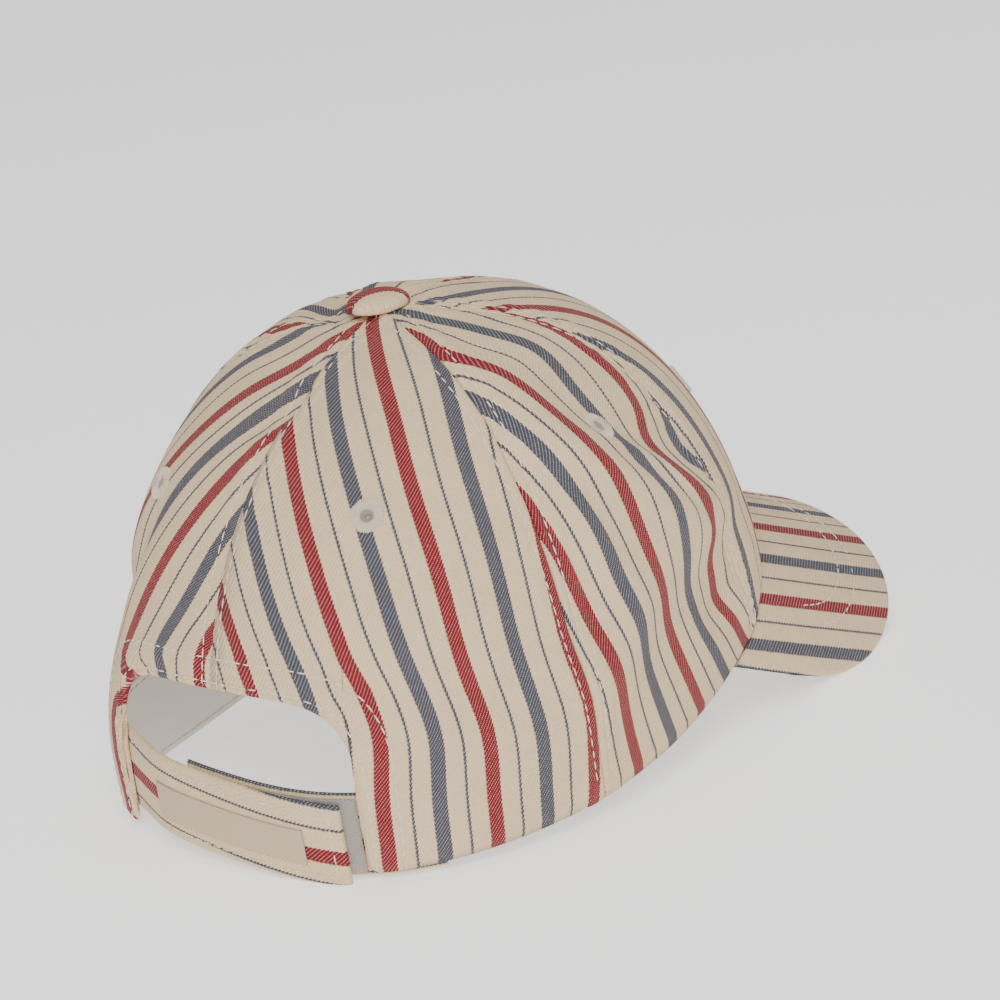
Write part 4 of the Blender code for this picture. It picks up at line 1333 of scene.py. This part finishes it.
def eyelet_piece(place, hand):
    """Embroidered eyelet: a flat ring whose profile falls into a well, ridged by radial stitches.

    The ridges follow the size of a sine of the turn, and the cloth place's third part says how
    deep between two stitches a point is, which the thread's material paints as shade, darkest in the well.
    """
    centre, axis = eyelet_frame(place, hand)
    turn = np.linspace(0.0, 2.0 * math.pi, EYELET_STITCHES * 6, endpoint=False)[:, None]
    ridge = np.abs(np.sin(turn * EYELET_STITCHES / 2.0)) - 0.5
    uneven = np.sin(turn * 7.0) + np.sin(turn * 11.0 + 2.0)
    radius = np.concatenate(
        [
            np.linspace(EYELET_BORE, EYELET_WELL, 6, endpoint=False),
            np.linspace(EYELET_WELL, EYELET_RADIUS, 11),
            [EYELET_RADIUS, EYELET_BORE],
        ]
    )[None]
    share = (radius - EYELET_WELL) / (EYELET_RADIUS - EYELET_WELL)
    dome = EYELET_PROUD * np.sqrt(np.clip(1.0 - np.clip(share * 2.0 - 1.0, -1.0, 1.0) ** 4, 0.0, 1.0))
    well = -EYELET_WELL_FALL * (EYELET_WELL - radius) / (EYELET_WELL - EYELET_BORE)
    height = np.where(radius < EYELET_WELL, well, dome) + np.zeros_like(turn)
    on_face = np.ones_like(radius)
    on_face[0, -2:] = 0.0
    height = height + EYELET_RIDGE_LIFT * ridge * on_face * np.clip(share * 4.0 + 0.6, 0.3, 1.0)
    height[:, -2:] = -EYELET_SEAT
    reach = EYELET_UNEVEN * uneven + EYELET_RIDGE_REACH * ridge
    radius = radius + reach * np.clip(share, 0.0, 1.0) ** 2 * on_face
    # Painted shade: this third cloth place darkens the thread between the stitches, and more in the well
    depth = (0.5 - ridge) * on_face + np.where(radius < EYELET_WELL, EYELET_WELL_PAINTED_SHADE, 0.0)
    x = radius * np.cos(turn)
    y = radius * np.sin(turn)
    points = np.stack([x, y, height], axis=-1)
    faces = ring_faces(points.shape[0], points.shape[1], True)
    placed = points.reshape(-1, 3) @ turn_to(axis).T + centre
    cloth = np.stack([turn * radius, radius + turn * 0.0, depth], axis=-1)
    made = mesh_piece(
        f"eyelet_{place}_{hand}_thread", placed, faces, cloth, [cloth_for("undyed_cotton_eyelet_thread")]
    )
    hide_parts(f"eyelet_{place}_{hand}")


def tab_rows():
    """Lines of stitches along the tab's two edges and across its free end, with their normals."""
    half = STRAP_WIDTH / 2.0 - STRAP_STITCH_MARGIN
    place = np.linspace(TAB_STITCH_START, TAB_STITCH_STOP, 200)
    end = np.linspace(half, -half, 40)
    rows = []
    for where, across in (
        (place, np.full(len(place), half)),
        (place, np.full(len(place), -half)),
        (np.full(len(end), TAB_STITCH_STOP), end),
    ):
        line = course_point(TAB_COURSE, where, across, 0.0, TAB_STITCH_LIFT)
        lifted = course_point(TAB_COURSE, where, across, 0.0, TAB_STITCH_LIFT + 1.0)
        rows.append((line, lifted - line))
    return rows


# The operators


class CAP_OT_crown(bpy.types.Operator):
    """Makes the six crown panels"""

    bl_idname = "cap.crown"
    bl_label = "Crown panels"

    def execute(self, context):
        for place in PANEL_SEAMS:
            for hand in HANDS:
                panel_piece(place, hand)
        return {"FINISHED"}


class CAP_OT_crown_stitching(bpy.types.Operator):
    """Makes the rows of stitches beside the crown's seams and round the arch"""

    bl_idname = "cap.crown_stitching"
    bl_label = "Crown stitching"

    def execute(self, context):
        thread = cloth_for("spun_polyester_thread")
        stitch_rows("seam_stitches", seam_rows(), thread)
        stitch_rows("arch_stitches", arch_rows(), thread)
        return {"FINISHED"}


class CAP_OT_peak(bpy.types.Operator):
    """Makes the peak and its stitches"""

    bl_idname = "cap.peak"
    bl_label = "Peak"

    def execute(self, context):
        peak_piece()
        stitch_rows("peak_stitches", peak_rows(), cloth_for("spun_polyester_thread"))
        return {"FINISHED"}


class CAP_OT_button(bpy.types.Operator):
    """Makes the covered button"""

    bl_idname = "cap.button"
    bl_label = "Button"

    def execute(self, context):
        button_piece()
        return {"FINISHED"}


class CAP_OT_eyelets(bpy.types.Operator):
    """Makes the six embroidered eyelets"""

    bl_idname = "cap.eyelets"
    bl_label = "Eyelets"

    def execute(self, context):
        for place in PANEL_SEAMS:
            for hand in HANDS:
                eyelet_piece(place, hand)
        return {"FINISHED"}


class CAP_OT_sweatband(bpy.types.Operator):
    """Makes the sweatband and its stitches"""

    bl_idname = "cap.sweatband"
    bl_label = "Sweatband"

    def execute(self, context):
        sweatband_piece()
        stitch_rows("sweatband_stitches", band_rows(), cloth_for("spun_polyester_thread"))
        return {"FINISHED"}


class CAP_OT_closure(bpy.types.Operator):
    """Makes the two straps of the closure, the loop tape and the bare label"""

    bl_idname = "cap.closure"
    bl_label = "Closure"

    def execute(self, context):
        striped = {"cloth": "yarn_dyed_cotton_twill", "slot": "striped_cloth", "puff": 0.25}
        striped["margin"] = STRAP_STITCH_MARGIN
        loops = {"cloth": "knitted_nylon_loop_tape", "slot": "loop_tape", "puff": 0.1, "margin": 1.5}
        woven = {"cloth": "woven_cotton_label_tape", "slot": "label_cloth", "puff": 0.06, "margin": 1.0}
        size = (STRAP_WIDTH, STRAP_THICKNESS)
        tab_span = (TAB_COURSE[0][0], TAB_COURSE[-1][0])
        under_span = (UNDER_COURSE[0][0], UNDER_COURSE[-1][0])
        strap_piece("tab_cloth", "tab_strap", TAB_COURSE, tab_span, size, 0.0, 0.0, striped, TAB_RED)
        strap_piece(
            "under_strap_cloth", "under_strap", UNDER_COURSE, under_span, size, 0.0, 0.0, striped, UNDER_RED
        )
        strap_piece(
            "loop_tape_knit",
            "loop_tape",
            UNDER_COURSE,
            TAPE_SPAN,
            (TAPE_WIDTH, TAPE_THICKNESS),
            0.0,
            FIT_GAP + TAPE_THICKNESS,
            loops,
        )
        strap_piece(
            "label_tape",
            "label",
            TAB_COURSE,
            LABEL_SPAN,
            (LABEL_WIDTH, LABEL_THICKNESS),
            LABEL_DROP_SHARE,
            FIT_GAP + LABEL_THICKNESS,
            woven,
        )
        stitch_rows("tab_stitches", tab_rows(), cloth_for("spun_polyester_thread"))
        return {"FINISHED"}


class CAP_OT_stage(bpy.types.Operator):
    """Makes the floor, the lights and the camera"""

    bl_idname = "cap.stage"
    bl_label = "Stage"

    def execute(self, context):
        floor_piece()
        studio_lights()
        photo_camera()
        return {"FINISHED"}


def floor_piece():
    """Large pale matt sheet just under the cap, a square of four corners."""
    mesh = bpy.data.meshes.new("floor")
    corners = [
        (x * FLOOR_HALF, y * FLOOR_HALF, -FLOOR_DROP) for x, y in ((-1, -1), (1, -1), (1, 1), (-1, 1))
    ]
    mesh.from_pydata(corners, [], [(0, 1, 2, 3)])
    made = bpy.data.objects.new("floor", mesh)
    bpy.context.scene.collection.objects.link(made)
    material = bpy.data.materials.new("matt_white_backdrop_paper")
    material.use_nodes = True
    tree = material.node_tree
    shader = tree.nodes["Principled BSDF"]
    place = add_node(tree, "ShaderNodeTexCoord")
    grain = add_node(tree, "ShaderNodeTexNoise", {"Vector": place.outputs["Object"], "Scale": 400.0})
    bump = add_node(tree, "ShaderNodeBump", {"Height": grain, "Strength": 0.1, "Distance": 0.0001})
    tree.links.new(bump.outputs[0], shader.inputs["Normal"])
    shader.inputs["Base Color"].default_value = (*bpy.context.scene.cap_colours.floor, 1.0)
    shader.inputs["Roughness"].default_value = 0.85
    # Lit a little from below, as a light table is, so that it stays pale round the cap
    shader.inputs["Emission Color"].default_value = (1.0, 1.0, 1.0, 1.0)
    shader.inputs["Emission Strength"].default_value = FLOOR_GLOW
    mesh.materials.append(material)


def studio_lights():
    """Plain soft light: a pale world and three broad area lights, each aimed at the cap."""
    world = bpy.data.worlds.new("studio")
    bpy.context.scene.world = world
    world.use_nodes = True
    backdrop = world.node_tree.nodes["Background"]
    backdrop.inputs["Color"].default_value = (1.0, 1.0, 1.0, 1.0)
    backdrop.inputs["Strength"].default_value = WORLD_STRENGTH
    for name, (place, size, power) in LIGHTS.items():
        lamp = bpy.data.lights.new(name, "AREA")
        lamp.size = size
        lamp.energy = power
        made = bpy.data.objects.new(name, lamp)
        made.location = place
        aim = Vector(LIGHT_AIM) - Vector(place)
        made.rotation_euler = aim.to_track_quat("-Z", "Y").to_euler()
        bpy.context.scene.collection.objects.link(made)


def photo_camera():
    """Camera at the photograph's angle, by its place and its right and up directions."""
    lens = bpy.data.cameras.new("photo_camera")
    lens.lens = CAMERA_LENS
    lens.sensor_width = CAMERA_SENSOR
    lens.clip_end = 10.0
    made = bpy.data.objects.new("photo_camera", lens)
    right, up = Vector(CAMERA_RIGHT).normalized(), Vector(CAMERA_UP).normalized()
    back = right.cross(up).normalized()
    turn = Matrix((right, up, back)).transposed().to_4x4()
    made.matrix_world = Matrix.Translation(Vector(CAMERA_PLACE) * MM) @ turn
    bpy.context.scene.collection.objects.link(made)
    bpy.context.scene.camera = made


class CAP_PT_panel(bpy.types.Panel):
    """Lists the cap's sizes, colours and pieces"""

    bl_idname = "CAP_PT_panel"
    bl_label = "Striped cap"
    bl_space_type = "VIEW_3D"
    bl_region_type = "UI"
    bl_category = "Cap"

    def draw(self, context):
        for group in (context.scene.cap_sizes, context.scene.cap_colours):
            column = self.layout.column()
            for name in group.bl_rna.properties.keys():
                if name not in ("rna_type", "name"):
                    column.prop(group, name)
        for operator in OPERATORS:
            self.layout.operator(operator.bl_idname)


OPERATORS = (
    CAP_OT_crown,
    CAP_OT_crown_stitching,
    CAP_OT_peak,
    CAP_OT_button,
    CAP_OT_eyelets,
    CAP_OT_sweatband,
    CAP_OT_closure,
    CAP_OT_stage,
)
CLASSES = (CapSizes, CapColours, *OPERATORS, CAP_PT_panel)


def register():
    """Registers the classes and hangs the cap's sizes and colours on the scene."""
    for item in CLASSES:
        bpy.utils.register_class(item)
    bpy.types.Scene.cap_sizes = bpy.props.PointerProperty(type=CapSizes)
    bpy.types.Scene.cap_colours = bpy.props.PointerProperty(type=CapColours)


def unregister():
    """Takes the classes and the scene's properties away again."""
    del bpy.types.Scene.cap_sizes
    del bpy.types.Scene.cap_colours
    for item in reversed(CLASSES):
        bpy.utils.unregister_class(item)


def main():
    register()
    for operator in OPERATORS:
        group, name = operator.bl_idname.split(".")
        getattr(getattr(bpy.ops, group), name)()


if __name__ == "__main__":
    main()
